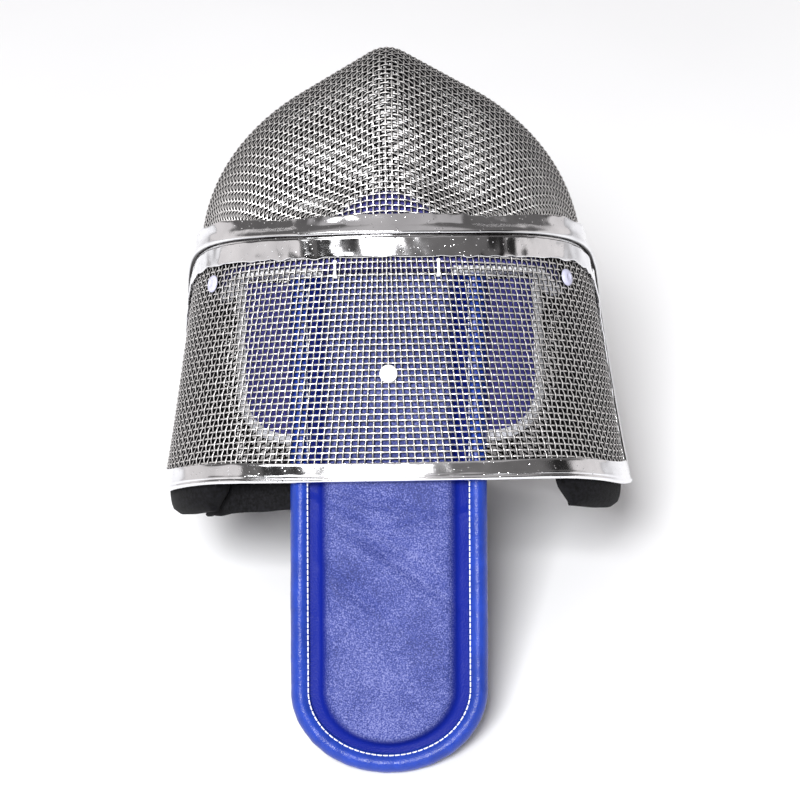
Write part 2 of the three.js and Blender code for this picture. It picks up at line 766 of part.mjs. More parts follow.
function tonguePiping() {
  const middle = PIPING_WIDTH / 2;
  const path = tabPath(TONGUE_HALF_WIDTH - middle, TONGUE_TOP, TONGUE_TIP + middle,
    TONGUE_END_LENGTH - middle, PIPING_STRAIGHT_STEPS, PIPING_END_STEPS);
  const depthAt = (x, height) => tongueDepth(x, height) + TONGUE_THICKNESS / 2;
  return ovalBar(path, depthAt, PIPING_WIDTH, TONGUE_THICKNESS, PIPING_SIDES);
}

// Flap behind the tongue

function flapDepth(x, height) {
  const behindTongue = TONGUE_SETBACK + TONGUE_THICKNESS + 2 * PIECE_GAP + BINDING_THICKNESS / 2;
  const t = smooth((Math.abs(x) - TONGUE_HALF_WIDTH) / (FLAP_HALF_WIDTH - TONGUE_HALF_WIDTH));
  return backDepth(x, height) + mix(behindTongue, FLAP_SIDE_SETBACK, t);
}

function backPad() {
  const inset = BINDING_WIDTH + PIECE_GAP;
  const outer = [];
  const inner = [];
  for (let i = 0; i <= FLAP_ROWS; i++) {
    const share = i / FLAP_ROWS;
    const height = mix(FLAP_BOTTOM + inset, FLAP_TOP, share ** FLAP_ROW_CROWDING);
    const above = height - FLAP_BOTTOM - inset;
    const corner = FLAP_CORNER - inset;
    const cut = above < corner ? corner - Math.sqrt(corner ** 2 - (corner - above) ** 2) : 0;
    const half = FLAP_HALF_WIDTH + BINDING_WIDTH / 2 - inset - cut;
    const outerRow = [];
    const innerRow = [];
    for (let j = 0; j <= FLAP_COLUMNS; j++) {
      const x = mix(-half, half, j / FLAP_COLUMNS);
      const depth = flapDepth(x, height);
      outerRow.push(spot(x, depth - FLAP_THICKNESS / 2, height));
      innerRow.push(spot(x, depth + FLAP_THICKNESS / 2, height));
    }
    outer.push(outerRow);
    inner.push(innerRow);
  }
  return slab(outer, inner);
}

function backPadBinding() {
  const path = [];
  const half = FLAP_HALF_WIDTH;
  const low = FLAP_BOTTOM + BINDING_WIDTH / 2;
  const corner = FLAP_CORNER - BINDING_WIDTH / 2;
  const put = (x, height) => path.push(new THREE.Vector2(x, height));
  for (let i = 0; i < BINDING_SIDE_STEPS; i++) {
    put(-half, mix(FLAP_TOP, low + corner, i / BINDING_SIDE_STEPS));
  }
  for (let i = 0; i < BINDING_CORNER_STEPS; i++) {
    const angle = i / BINDING_CORNER_STEPS * Math.PI / 2;
    put(-half + corner * (1 - Math.cos(angle)), low + corner * (1 - Math.sin(angle)));
  }
  for (let i = 0; i <= BINDING_BOTTOM_STEPS; i++) {
    put(mix(-half + corner, 0, i / BINDING_BOTTOM_STEPS), low);
  }
  const otherSide = path.slice(0, -1).reverse().map((p) => new THREE.Vector2(-p.x, p.y));
  return ovalBar([...path, ...otherSide], flapDepth, BINDING_WIDTH, BINDING_THICKNESS, BINDING_SIDES);
}

// Crown pad

// Depth of the front mesh above the seam at a distance from the centre line
const FRONT_DEPTH_LAST_PLACE = 2;

function frontDepth(x, height) {
  let low = 0;
  let high = FRONT_DEPTH_LAST_PLACE;
  const at = (t) => {
    let near = 0;
    let far = CROWN_HALF_WIDTH * 2;
    for (let i = 0; i < HALVINGS; i++) {
      const middle = (near + far) / 2;
      if (rawFront(t, middle).x < x) near = middle;
      else far = middle;
    }
    return rawFront(t, near);
  };
  for (let i = 0; i < HALVINGS; i++) {
    const middle = (low + high) / 2;
    if (at(middle).height < height) low = middle;
    else high = middle;
  }
  return at(low).depth;
}

function crownWallDepth(x, height) {
  const back = backDepth(x, Math.min(height, SEAM_HEIGHT));
  const rise = height - seamHeight(back, 0);
  if (rise <= 0) return back;
  return Math.max(back, frontDepth(Math.abs(x), height));
}

function crownPad() {
  const outer = [];
  const inner = [];
  const lastAngle = Math.asin(CROWN_PAD_HALF_WIDTH / CROWN_HALF_WIDTH);
  for (let i = 0; i <= CROWN_PAD_ROWS; i++) {
    const outerRow = [];
    const innerRow = [];
    for (let j = 0; j <= CROWN_PAD_COLUMNS; j++) {
      const angle = mix(-lastAngle, lastAngle, j / CROWN_PAD_COLUMNS);
      const x = CROWN_HALF_WIDTH * Math.sin(angle);
      const side = Math.abs(x) / CROWN_PAD_HALF_WIDTH;
      const dome = smooth(1 - Math.abs(x) / CROWN_PAD_DOME_HALF_WIDTH);
      const pastFlap = smooth((Math.abs(x) - FLAP_HALF_WIDTH - BINDING_WIDTH / 2)
        / (CROWN_PAD_HALF_WIDTH - FLAP_HALF_WIDTH));
      const bottom = CROWN_PAD_BOTTOM - CROWN_PAD_SIDE_DROP * pastFlap;
      const sideTop = CROWN_PAD_SIDE_TOP - CROWN_PAD_SIDE_FALL * side ** CROWN_PAD_FALL_POWER;
      const top = mix(sideTop, CROWN_PAD_TOP, dome);
      const height = mix(bottom, top, i / CROWN_PAD_ROWS);
      const out = new THREE.Vector3(Math.sin(angle), Math.cos(angle), 0);
      const wall = spot(x, crownWallDepth(x, height), height);
      outerRow.push(wall.clone().addScaledVector(out, -CROWN_PAD_SETBACK));
      innerRow.push(wall.clone().addScaledVector(out, -CROWN_PAD_SETBACK - CROWN_PAD_THICKNESS));
    }
    outer.push(outerRow);
    inner.push(innerRow);
  }
  return slab(outer, inner);
}

// Cheek pads

function cheekPad(side) {
  const outer = [];
  const inner = [];
  const last = shareAtReach(CHEEK_PAD_REACH);
  for (let i = 0; i <= CHEEK_ROWS; i++) {
    const height = mix(CHEEK_PAD_BOTTOM, CHEEK_PAD_TOP, i / CHEEK_ROWS);
    const slant = smooth((height - FLAP_BOTTOM) / (CHEEK_PAD_TOP - FLAP_BOTTOM));
    const first = backShareAtWidth(mix(CHEEK_PAD_REAR_HALF_WIDTH, CHEEK_PAD_TOP_HALF_WIDTH, slant));
    const outerRow = [];
    const innerRow = [];
    for (let j = 0; j <= CHEEK_COLUMNS; j++) {
      const q = mix(first, last, j / CHEEK_COLUMNS);
      const onWall = Math.max(0, height);
      const wall = backPoint(q, onWall).setZ(height);
      const out = backNormal(q, Math.max(HEIGHT_STEP, onWall)).setZ(0).normalize();
      outerRow.push(wall.clone().addScaledVector(out, -CHEEK_PAD_SETBACK));
      innerRow.push(wall.clone().addScaledVector(out, -CHEEK_PAD_SETBACK - CHEEK_PAD_THICKNESS));
    }
    outer.push(side < 0 ? outerRow.map(mirrored) : outerRow);
    inner.push(side < 0 ? innerRow.map(mirrored) : innerRow);
  }
  return slab(outer, inner);
}

function backShareAtWidth(half) {
  let low = 0;
  let high = BACK_ROUND_SHARE;
  for (let i = 0; i < HALVINGS; i++) {
    const middle = (low + high) / 2;
    if (backPoint(middle, 0).x < half) low = middle;
    else high = middle;
  }
  return low;
}

// Strap from the left cheek pad to behind the tongue; left, as the wearer has it, is +x

function strapMiddle(share) {
  const top = STRAP_BOTTOM + STRAP_WIDTH;
  const setback = CHEEK_PAD_SETBACK + CHEEK_PAD_THICKNESS + PIECE_GAP + STRAP_THICKNESS / 2;
  const onPad = Math.min(1, share / STRAP_ON_PAD);
  const q = mix(backShareAtWidth(STRAP_OUTER_END), backShareAtWidth(STRAP_LEAVES_PAD), onPad);
  const out = backNormal(q, top).setZ(0).normalize();
  const pad = backPoint(q, top).addScaledVector(out, -setback);
  if (share <= STRAP_ON_PAD) return { x: pad.x, depth: -pad.y };
  const across = (share - STRAP_ON_PAD) / (1 - STRAP_ON_PAD);
  const x = mix(pad.x, -STRAP_INNER_END, across);
  const behind = TONGUE_SETBACK + TONGUE_THICKNESS + 2 * PIECE_GAP + STRAP_THICKNESS / 2;
  const tongueBack = behind + backDepth(Math.min(x, TONGUE_HALF_WIDTH), top);
  const free = clamp01((x - TONGUE_HALF_WIDTH) / (pad.x - TONGUE_HALF_WIDTH));
  return { x, depth: mix(tongueBack, -pad.y, free) };
}

function strapLeft() {
  const outer = [];
  const inner = [];
  for (let i = 0; i <= STRAP_STEPS; i++) {
    const here = strapMiddle(i / STRAP_STEPS);
    const a = strapMiddle(Math.max(0, i - 1) / STRAP_STEPS);
    const b = strapMiddle(Math.min(STRAP_STEPS, i + 1) / STRAP_STEPS);
    const way = spot(b.x - a.x, b.depth - a.depth, 0).normalize();
    const out = new THREE.Vector3(way.y, -way.x, 0);
    const column = (lift) => Array.from({ length: STRAP_ROWS + 1 }, (_, j) => (
      spot(here.x, here.depth, STRAP_BOTTOM + j / STRAP_ROWS * STRAP_WIDTH).addScaledVector(out, lift)
    ));
    outer.push(column(STRAP_THICKNESS / 2));
    inner.push(column(-STRAP_THICKNESS / 2));
  }
  return slab(outer, inner);
}

// Rivets and spring hooks

function rivet(base, out) {
  const r = RIVET_DIAMETER / 2;
  const flat = r * RIVET_FLAT_SHARE;
  const profile = [
    new THREE.Vector2(0, 0),
    new THREE.Vector2(r, 0),
    new THREE.Vector2(r, RIVET_HEAD * RIVET_SIDE_SHARE),
    new THREE.Vector2(flat, RIVET_HEAD),
    new THREE.Vector2(0, RIVET_HEAD),
  ];
  const geometry = new THREE.LatheGeometry(profile, RIVET_SIDES);
  const turn = new THREE.Quaternion().setFromUnitVectors(new THREE.Vector3(0, 1, 0), out);
  const seat = base.clone().addScaledVector(out, HALF_MESH + CLEARANCE);
  geometry.applyQuaternion(turn);
  geometry.translate(seat.x, seat.y, seat.z);
  return geometry;
}

function rivetAt(x, height) {
  const base = spot(x, backDepth(x, height), height);
  const q = backShareAt(base);
  const out = backNormal(Math.max(q, SHARE_STEP), height);
  if (x === 0) return rivet(base, new THREE.Vector3(0, 1, 0));
  return rivet(base, x < 0 ? mirrored(out) : out);
}

function springHook(side) {
  const x = side * HOOK_SPACING / 2;
  const r = HOOK_DIAMETER / 2;
  const geometry = new THREE.CylinderGeometry(r, r, HOOK_LENGTH, HOOK_SIDES);
  geometry.rotateX(Math.PI / 2);
  const lift = HALF_MESH + CLEARANCE + r;
  const depth = backDepth(x, HOOK_TOP);
  const q = backShareAt(spot(Math.abs(x), depth, HOOK_TOP));
  const out = backNormal(q, HOOK_TOP).setZ(0).normalize();
  const place = spot(Math.abs(x), depth, HOOK_TOP - HOOK_LENGTH / 2).addScaledVector(out, lift);
  geometry.translate(side * place.x, place.y, place.z);
  return geometry;
}

// Finishes

function finish(color, roughness, metalness) {
  return new THREE.MeshStandardMaterial({ color, roughness, metalness });
}

const steelWire = () => finish(0xb9b9bd, 0.35, 1);
const brightStrip = () => finish(0xe4e4e8, 0.12, 1);
const dullStrip = () => finish(0x9a9a9e, 0.4, 1);
const blueLeather = () => finish(0x1f3fb4, 0.45, 0);
const blueEdge = () => finish(0x1746c8, 0.4, 0);
const blueCloth = () => finish(0x22308c, 0.8, 0);
const paleBinding = () => finish(0xd9dbe2, 0.8, 0);
const blackFoam = () => finish(0x101014, 0.9, 0);
const blackElastic = () => finish(0x16161a, 0.85, 0);
const whitePlastic = () => finish(0xf6f6f6, 0.35, 0);

const mask = new THREE.Group();

// How far the rim's corners lie below the plane through the chin and the back of the neck
function dip(depth, height) {
  const behind = smooth((depth - DIP_STARTS) / (DIP_FULL - DIP_STARTS));
  const ahead = smooth((DIP_ENDS - depth) / (DIP_ENDS - DIP_FADES));
  return RIM_DIP * behind * ahead * smooth((DIP_HIGH - height) / (DIP_HIGH - DIP_LOW));
}

function lowerCorners(geometry) {
  const position = geometry.getAttribute('position');
  for (let i = 0; i < position.count; i++) {
    const height = position.getZ(i);
    position.setZ(i, height - dip(-position.getY(i), height));
  }
}

function add(name, geometry, material) {
  lowerCorners(geometry);
  const mesh = new THREE.Mesh(geometry, material);
  mesh.name = name;
  mask.add(mesh);
  return mesh;
}

add('front_mesh', frontMesh(), steelWire());
add('back_mesh', backMesh(), steelWire());
add('join_band', joinBand(), brightStrip());
add('rear_band', rearBand(), brightStrip());
const chinStrip = add('front_rim', frontRim(), dullStrip());
add('tongue', tonguePanel(), blueLeather());
const edgeRoll = add('tongue_piping', tonguePiping(), blueEdge());
add('back_pad', backPad(), blueCloth());
add('back_pad_binding', backPadBinding(), paleBinding());
add('crown_pad', crownPad(), blueCloth());
add('cheek_pad_left', cheekPad(1), blackFoam());
add('cheek_pad_right', cheekPad(-1), blackFoam());
add('strap_left', strapLeft(), blackElastic());
add('spring_hook_left', springHook(1), brightStrip());
add('spring_hook_right', springHook(-1), brightStrip());
add('rivet_back', rivetAt(0, RIVET_BACK_HEIGHT), whitePlastic());
add('rivet_left', rivetAt(RIVET_SIDE_HALF_WIDTH, SEAM_HEIGHT - RIVET_SIDE_DROP), whitePlastic());
add('rivet_right', rivetAt(-RIVET_SIDE_HALF_WIDTH, SEAM_HEIGHT - RIVET_SIDE_DROP), whitePlastic());

// Lean the mask forward until the chin strip and the tongue's tip stand at one level
function lowest(mesh, tilt) {
  const position = mesh.geometry.getAttribute('position');
  let low = Infinity;
  for (let i = 0; i < position.count; i++) {
    low = Math.min(low, position.getY(i) * Math.sin(tilt) + position.getZ(i) * Math.cos(tilt));
  }
  return low;
}

function restTilt() {
  let low = 0;
  let high = Math.PI / 3;
  for (let i = 0; i < HALVINGS; i++) {
    const middle = (low + high) / 2;
    if (lowest(chinStrip, middle) > lowest(edgeRoll, middle)) low = middle;
    else high = middle;
  }
  return low;
}

mask.rotation.x = restTilt();
mask.updateMatrixWorld(true);
const extent = new THREE.Box3().setFromObject(mask, true);
const middle = extent.getCenter(new THREE.Vector3());
mask.position.set(-middle.x, -middle.y, -extent.min.z);

const fencingMask = new THREE.Group();
fencingMask.add(mask);

export default fencingMask;
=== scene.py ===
"""Looks of a fencing mask seen from behind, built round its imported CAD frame.

Sizes in the surface formulas are millimetres in the mask's own frame: x across, depth from the
back of the head to the chin, height up from the plane of the rim. Blender objects are in metres.
"""

import json
import math

import bmesh
import bpy
import numpy as np
from mathutils import Matrix, Vector

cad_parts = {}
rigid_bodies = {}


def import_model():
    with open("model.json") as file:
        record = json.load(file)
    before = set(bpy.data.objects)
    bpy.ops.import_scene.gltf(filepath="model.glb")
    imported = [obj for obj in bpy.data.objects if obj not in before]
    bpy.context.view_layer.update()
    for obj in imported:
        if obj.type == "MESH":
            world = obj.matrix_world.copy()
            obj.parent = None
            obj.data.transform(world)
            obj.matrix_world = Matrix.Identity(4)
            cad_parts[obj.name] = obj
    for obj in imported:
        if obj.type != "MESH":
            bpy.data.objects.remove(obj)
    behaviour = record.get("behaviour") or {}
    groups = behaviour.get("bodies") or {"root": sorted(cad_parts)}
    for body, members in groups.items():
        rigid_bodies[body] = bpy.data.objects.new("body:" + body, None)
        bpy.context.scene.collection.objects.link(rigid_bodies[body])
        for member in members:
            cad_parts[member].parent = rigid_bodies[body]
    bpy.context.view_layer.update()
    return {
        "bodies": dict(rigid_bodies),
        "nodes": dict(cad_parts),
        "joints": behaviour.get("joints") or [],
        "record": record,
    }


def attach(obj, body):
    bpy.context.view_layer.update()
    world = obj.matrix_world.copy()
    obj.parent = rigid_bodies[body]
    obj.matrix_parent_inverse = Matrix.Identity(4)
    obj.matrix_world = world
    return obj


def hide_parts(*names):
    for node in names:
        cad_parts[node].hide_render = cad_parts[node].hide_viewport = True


bl_info = {
    "name": "Fencing mask",
    "version": (1, 0, 0),
    "blender": (4, 5, 0),
    "location": "3D View > Sidebar > Mask",
    "description": "Makes the woven cage, strips, pads and tongue of a fencing mask round its CAD frame",
    "category": "Object",
}

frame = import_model()
MOUNTS = {m["name"]: m for m in frame["record"]["mounts"]}
RIM_ORIGIN = MOUNTS["rim_back"]["pos_m"]
RIM_AXIS = MOUNTS["rim_back"]["axis"]
TILT = math.atan2(RIM_AXIS[1], -RIM_AXIS[2])
MM = 0.001
DEG = math.pi / 180

# Driving sizes of the cage, as in the CAD model
CROWN_HALF_WIDTH = 98.0
FRONT_HALF_WIDTH = 103.0
RIM_HALF_WIDTH = 116.0
FLARE_POWER = 1.15
CHIN_DEPTH = 238.0
APEX_HEIGHT = 211.0
SEAM_HEIGHT = 115.0
SEAM_REACH = 125.0
SEAM_POWER = 4.0
BACK_DEPTH_CROWN = 98.0
BACK_DEPTH_RIM = 90.0
BACK_POWER_CROWN = 2.0
BACK_POWER_RIM = 2.5
BACK_ROUND_SHARE = 0.8
HALF_MESH = 1.0
SLOPE = 29.5 * DEG
RIDGE_RADIUS = 16.0
CHEEK_FLAT = 40.0
RIDGE_SHARP_AT_SEAM = 0.25
RIDGE_SHARP_LENGTH = 45.0
SECTION_EASE = 5
RIM_DIP = 4.7
DIP_STARTS = 8.0
DIP_FULL = 60.0
DIP_FADES = 125.0
DIP_ENDS = 200.0
DIP_LOW = 10.0
DIP_HIGH = 80.0
RIDGE_DEPTH = [0, 0.105, 0.231, 0.42, 0.63, 0.8, 0.916, 1]
RIDGE_HEIGHT = [SEAM_HEIGHT / APEX_HEIGHT, 0.863, 1, 0.948, 0.782, 0.597, 0.34, 0]
RIDGE_TURN = [-52, -73, -86, -101, -120, -132, -134, -134]
LAST_PLACE = len(RIDGE_DEPTH) - 1.0
LONGEST_RUN = 320.0

# Strips, tongue, flap, pads, strap and hardware
CLEARANCE = 0.4
STRIP_THICKNESS = 1.0
JOIN_FLANGE = 9.5
STRIP_END_GAP = 1.2
REAR_STRIP_HEIGHT = 8.5
REAR_STRIP_CORNER_HEIGHT = 10.9
FRONT_STRIP_HEIGHT = 7.0
FRONT_STRIP_SPREAD = 0.9
STRIP_INNER_HEIGHT = 5.0
TONGUE_HALF_WIDTH = 47.0
TONGUE_TOP = 97.0
TONGUE_TIP = -139.0
TONGUE_END_LENGTH = 39.5
TONGUE_SETBACK = 3.0
TONGUE_THICKNESS = 12.6
TONGUE_FLATTEN_LENGTH = 70.0
TONGUE_CURVE_KEPT = 0.15
PIPING_WIDTH = 9.4
PIECE_GAP = 0.35
FLAP_HALF_WIDTH = 71.0
FLAP_TOP = 95.6
FLAP_BOTTOM = 19.0
FLAP_CORNER = 24.0
FLAP_THICKNESS = 5.0
FLAP_SIDE_SETBACK = 8.5
BINDING_WIDTH = 6.0
BINDING_THICKNESS = 6.4
CROWN_PAD_BOTTOM = 98.6
CROWN_PAD_TOP = 138.0
CROWN_PAD_SIDE_TOP = 109.0
CROWN_PAD_SIDE_DROP = 12.0
CROWN_PAD_SIDE_FALL = 6.0
CROWN_PAD_HALF_WIDTH = 88.0
CROWN_PAD_DOME_HALF_WIDTH = 60.0
CROWN_PAD_THICKNESS = 8.0
CROWN_PAD_SETBACK = 3.4
CHEEK_PAD_BOTTOM = -12.0
CHEEK_PAD_TOP = 62.0
CHEEK_PAD_THICKNESS = 14.0
CHEEK_PAD_REAR_HALF_WIDTH = 86.0
CHEEK_PAD_TOP_HALF_WIDTH = 106.0
CHEEK_PAD_REACH = 112.0
CHEEK_PAD_SLANT = 7
CHEEK_PAD_SETBACK = HALF_MESH + CLEARANCE + STRIP_THICKNESS + PIECE_GAP
STRAP_WIDTH = 24.0
STRAP_THICKNESS = 1.6
STRAP_BOTTOM = -13.0
STRAP_OUTER_END = 112.0
STRAP_LEAVES_PAD = 94.0
STRAP_ON_PAD = 0.35
STRAP_INNER_END = 14.0
STRAP_WAVE = 0.6
STRAP_RIB = 0.12
STRAP_RIBS = 12
RIVET_RADIUS = 4.25
RIVET_BACK_HEIGHT = 50.5
RIVET_SIDE_HALF_WIDTH = 85.0
RIVET_SIDE_HEIGHT = 96.0
HOOK_HALF_SPACING = 24.0
HOOK_TOP = 104.5
HOOK_LENGTH = 8.5
HOOK_RADIUS = 0.85

# Forms that only the looks have
# Half width of the back mesh's middle columns, whose wire colour is darkened as painted shade
SHADED_COLUMNS_HALF_WIDTH = 74
REAR_STRIP_LEAN = 0.45
TONGUE_LEAN = 2.9
GROOVE_FLAT = 6.6
GROOVE_RISE = 4.6
STITCH_HALF_WIDTH = 38.5
CROWN_TAPE_FROM = 32
CROWN_TAPE_TO = 87
CROWN_TAPE_RISE = 1.2
CROWN_TAPE_HALF_DEPTH = 4.9
CROWN_TAPE_HALF_HEIGHT = 2.3
PAD_BULGE = 8.0
PIPING_STEP = 1.3
STITCH_STEP = 0.35

# The tongue's panel: rows and columns, how it tucks under the roll, and how it settles by the groove
PANEL_SIDE_ROWS = 130
PANEL_END_ROWS = 40
PANEL_LAST_TURN = math.radians(88)
PANEL_COLUMNS = 61
PANEL_CROWDING = 0.93
PANEL_UNDER_PIPING = 0.6
PANEL_SETTLE = 1.2
PANEL_SETTLE_LENGTH = 6.0
PANEL_EDGE_CALM = 8
# Width and fade of the darker tone beside the roll, which is partly painted shade of the groove
SEAM_TONE_WIDTH = 1.2
SEAM_TONE_FADE = 2.6

# Waves of the panel: half height, seed of the field and length
PANEL_WAVES = [(0.5, 21, 60), (0.16, 22, 18)]

# Folds of the edge roll, which grow towards the round end, as shares of its thickness
PIPING_SIDES = 20
PIPING_FOLDS_FROM = -85
PIPING_FOLDS_FADE = 40
PIPING_FOLD_STRAIGHT = 0.008
PIPING_FOLD_END = 0.018
PIPING_SLOW_WAVE = 0.015

# Stitches: how far the row starts below the tongue's top, hump, depth of their ends and thread radius
STITCH_TOP_GAP = 3
STITCH_HUMP = 0.35
STITCH_SINK = 0.25
THREAD_RADIUS = 0.34 * MM

# Creases of the tongue's panel: place across, height, turn, half length and depth
CREASES = [
    (12, -22, 0.5, 26, 2.85),
    (2, -34, 0.55, 30, 3.23),
    (-12, -46, 0.6, 26, 2.47),
    (8, -10, 0.3, 26, 2.28),
    (-20, -20, -0.2, 20, 1.9),
    (14, -56, 0.7, 18, 2.09),
]
CREASE_HALF_WIDTH = 2.2

# Section of the join band: distance from the seam, behind it below zero, and lift over the flanges
BAND_PROFILE = [
    (-9.5, -0.9), (-9.54, -0.25), (-9.46, -0.07), (-9.2, 0.02), (-8.4, 0.06), (-7.0, 0.0), (-5.4, 0.0),
    (-3.8, 0.02), (-2.2, 0.04), (-1.0, 0.1), (-0.5, 0.12), (-0.25, -0.2), (0.05, -0.8), (0.6, -0.9),
    (0.78, -0.1), (0.75, 1.0), (1.1, 1.7), (1.8, 1.95), (2.6, 1.8), (3.6, 1.4), (4.6, 0.9), (5.4, 0.5),
    (6.2, 0.2), (7.4, 0.08), (8.8, 0.05), (10.2, 0.05), (10.9, 0.0), (11.2, -0.35), (11.2, -0.9),
]
# Places across the band between which its crevice under the bead is painted near black as shade
CREVICE_SHADE_FROM, CREVICE_SHADE_TO = -0.3, 0.79

# Section of a rivet's head: share of its radius, down to the small hole, and lift over the mesh
RIVET_HOLE_RADIUS = 0.2
RIVET_PROFILE = [
    (0, 0), (1, 0), (1, 0.3), (0.99, 0.6), (0.93, 0.95), (0.82, 1.25), (0.66, 1.48), (0.48, 1.6),
    (0.4, 1.58), (0.34, 1.25), (0.2, 1.15), (0, 1.13),
]

# Steps of the searches and samples that the formulas need
HALVINGS = 40
FINE_SAMPLES = 2000
SHARE_STEP = 0.004
PLACE_STEP = 0.01
RUN_STEP = 0.5
HEIGHT_STEP = 1
SAMPLE_LAST_PLACE = 6.2
SAMPLE_PLACE_STEP = 0.06
SAMPLE_RUN_STEP = 2.0
SAMPLE_SHARE_STEP = 0.012
SAMPLE_HEIGHT_STEP = 3.0
RISE_BLUR = 7
BAND_STEP = 1.5
REAR_STRIP_STEP = 1.6
FRONT_STRIP_STEP = 1.8


# Surface formulas in the mask's frame

def mix(a, b, t):
    """Value between a and b at share t."""
    return a + (b - a) * t


def clamp01(t):
    """t held between 0 and 1."""
    return np.clip(t, 0.0, 1.0)


def smooth(t):
    """Share that starts and ends gently."""
    t = clamp01(t)
    return t * t * (3 - 2 * t)


def spot(x, depth, height):
    """Points from their three coordinates."""
    return np.stack(np.broadcast_arrays(x, depth, height), axis=-1).astype(float)


def unit(v):
    """Vectors of length one."""
    return v / np.maximum(np.linalg.norm(v, axis=-1, keepdims=True), 1e-12)


def turned(v):
    """Directions of the mask's frame in the row frame."""
    x, depth, height = v[..., 0], v[..., 1], v[..., 2]
    c, s = math.cos(TILT), math.sin(TILT)
    return np.stack([x, -depth * c - height * s, -depth * s + height * c], axis=-1)


def dipped(points):
    """Points with the rim's corners lowered, as the CAD model has them."""
    points = np.array(points, float)
    depth, height = points[..., 1], points[..., 2]
    behind = smooth((depth - DIP_STARTS) / (DIP_FULL - DIP_STARTS))
    ahead = smooth((DIP_ENDS - depth) / (DIP_ENDS - DIP_FADES))
    points[..., 2] = height - RIM_DIP * behind * ahead * smooth((DIP_HIGH - height) / (DIP_HIGH - DIP_LOW))
    return points


def placed(points):
    """Points of the mask's frame, in metres in the row frame."""
    return turned(dipped(points)) * MM + np.array(RIM_ORIGIN)


def flare(height):
    """How much wider the cage is at a height than at the crown."""
    below = clamp01(1 - height / SEAM_HEIGHT) ** FLARE_POWER
    return mix(1, RIM_HALF_WIDTH / CROWN_HALF_WIDTH, below)


def seam_height(depth, shift=0.0):
    """Height of the seam between back and front mesh."""
    share = clamp01(np.maximum(0, depth) / (SEAM_REACH + shift))
    return (SEAM_HEIGHT + shift) * np.sqrt(1 - share ** SEAM_POWER)


def back_shape(height):
    """Power, reach and half width of the back mesh's plan section."""
    t = clamp01(height / SEAM_HEIGHT)
    power = mix(BACK_POWER_RIM, BACK_POWER_CROWN, t)
    reach = mix(BACK_DEPTH_RIM, BACK_DEPTH_CROWN, t)
    return power, reach, CROWN_HALF_WIDTH * flare(height)


def back_point(q, height):
    """Point of the back mesh: q runs from 0 at the centre line to 1 at the seam's foot."""
    q, height = np.broadcast_arrays(np.asarray(q, float), np.asarray(height, float))
    power, reach, half = back_shape(height)
    angle = np.minimum(1, np.abs(q) / BACK_ROUND_SHARE) * math.pi / 2
    x = half * np.sin(angle) ** (2 / power)
    rest = np.maximum(0, np.cos(angle)) ** (2 / power)
    straight = np.maximum(0, np.abs(q) - BACK_ROUND_SHARE) / (1 - BACK_ROUND_SHARE)
    return spot(np.sign(q) * x, reach * (1 - rest) + straight * (SEAM_REACH - reach), height)


def back_depth(x, height):
    """Depth of the back mesh at a distance from the centre line."""
    power, reach, half = back_shape(height)
    share = np.minimum(0.999, np.abs(x) / half)
    return reach * (1 - (1 - share ** power) ** (1 / power))


def back_half_width(depth, height):
    """Half width of the back mesh at a depth."""
    power, reach, half = back_shape(height)
    rest = clamp01(1 - np.maximum(0, depth) / reach)
    return half * (1 - rest ** power) ** (1 / power)


def back_normal(q, height):
    """Outward direction of the back mesh."""
    across = back_point(q + SHARE_STEP, height) - back_point(q - SHARE_STEP, height)
    up = back_point(q, height + HEIGHT_STEP) - back_point(q, height - HEIGHT_STEP)
    return unit(np.cross(across, up))


def table_value(table, t):
    """Value of a ridge table on a smooth curve."""
    table = np.asarray(table, float)
    last = len(table) - 1
    i = np.minimum(last - 1, np.floor(t)).astype(int)
    f = t - i
    at = lambda k: table[np.clip(k, 0, last)]
    before = np.where(i > 0, at(i - 1), 2 * table[0] - table[1])
    after = np.where(i + 2 <= last, at(i + 2), 2 * table[last] - table[last - 1])
    a, b = at(i), at(i + 1)
    bend = 2 * before - 5 * a + 4 * b - after
    twist = 3 * (a - b) + after - before
    return a + 0.5 * f * (b - before + f * (bend + f * twist))


def arch(run, sharp):
    """Way out and drop from the ridge at a length along the crossing wire."""
    corner = mix(FRONT_HALF_WIDTH, RIDGE_RADIUS, sharp)
    flat = CHEEK_FLAT * sharp
    sin, cos = math.sin(SLOPE), math.cos(SLOPE)
    shoulder = (FRONT_HALF_WIDTH - corner * sin - flat * cos) / (1 - sin)
    corner_run = corner * SLOPE
    shoulder_run = shoulder * (math.pi / 2 - SLOPE)
    on_corner = np.minimum(run, corner_run) / corner
    on_flat = np.clip(run - corner_run, 0, flat)
    on_shoulder = np.clip(run - corner_run - flat, 0, shoulder_run)
    angle = SLOPE + on_shoulder / shoulder
    out = corner * np.sin(on_corner) + on_flat * cos + shoulder * (np.sin(angle) - sin)
    drop = corner * (1 - np.cos(on_corner)) + on_flat * sin + shoulder * (cos - np.cos(angle))
    return out, drop + np.maximum(0, run - corner_run - flat - shoulder_run)


def raw_front(t, run):
    """Point on the wire that crosses the ridge at t, before it is fitted to the seam."""
    depth = table_value(RIDGE_DEPTH, t) * CHIN_DEPTH
    height = table_value(RIDGE_HEIGHT, t) * APEX_HEIGHT
    turn = table_value(RIDGE_TURN, t) * DEG
    rise = np.hypot(depth, height - SEAM_HEIGHT)
    sharp = mix(RIDGE_SHARP_AT_SEAM, 1, smooth(rise / RIDGE_SHARP_LENGTH))
    out, drop = arch(run, sharp)
    height = height + np.sin(turn) * drop
    return spot(out * flare(height), depth + np.cos(turn) * drop, height)


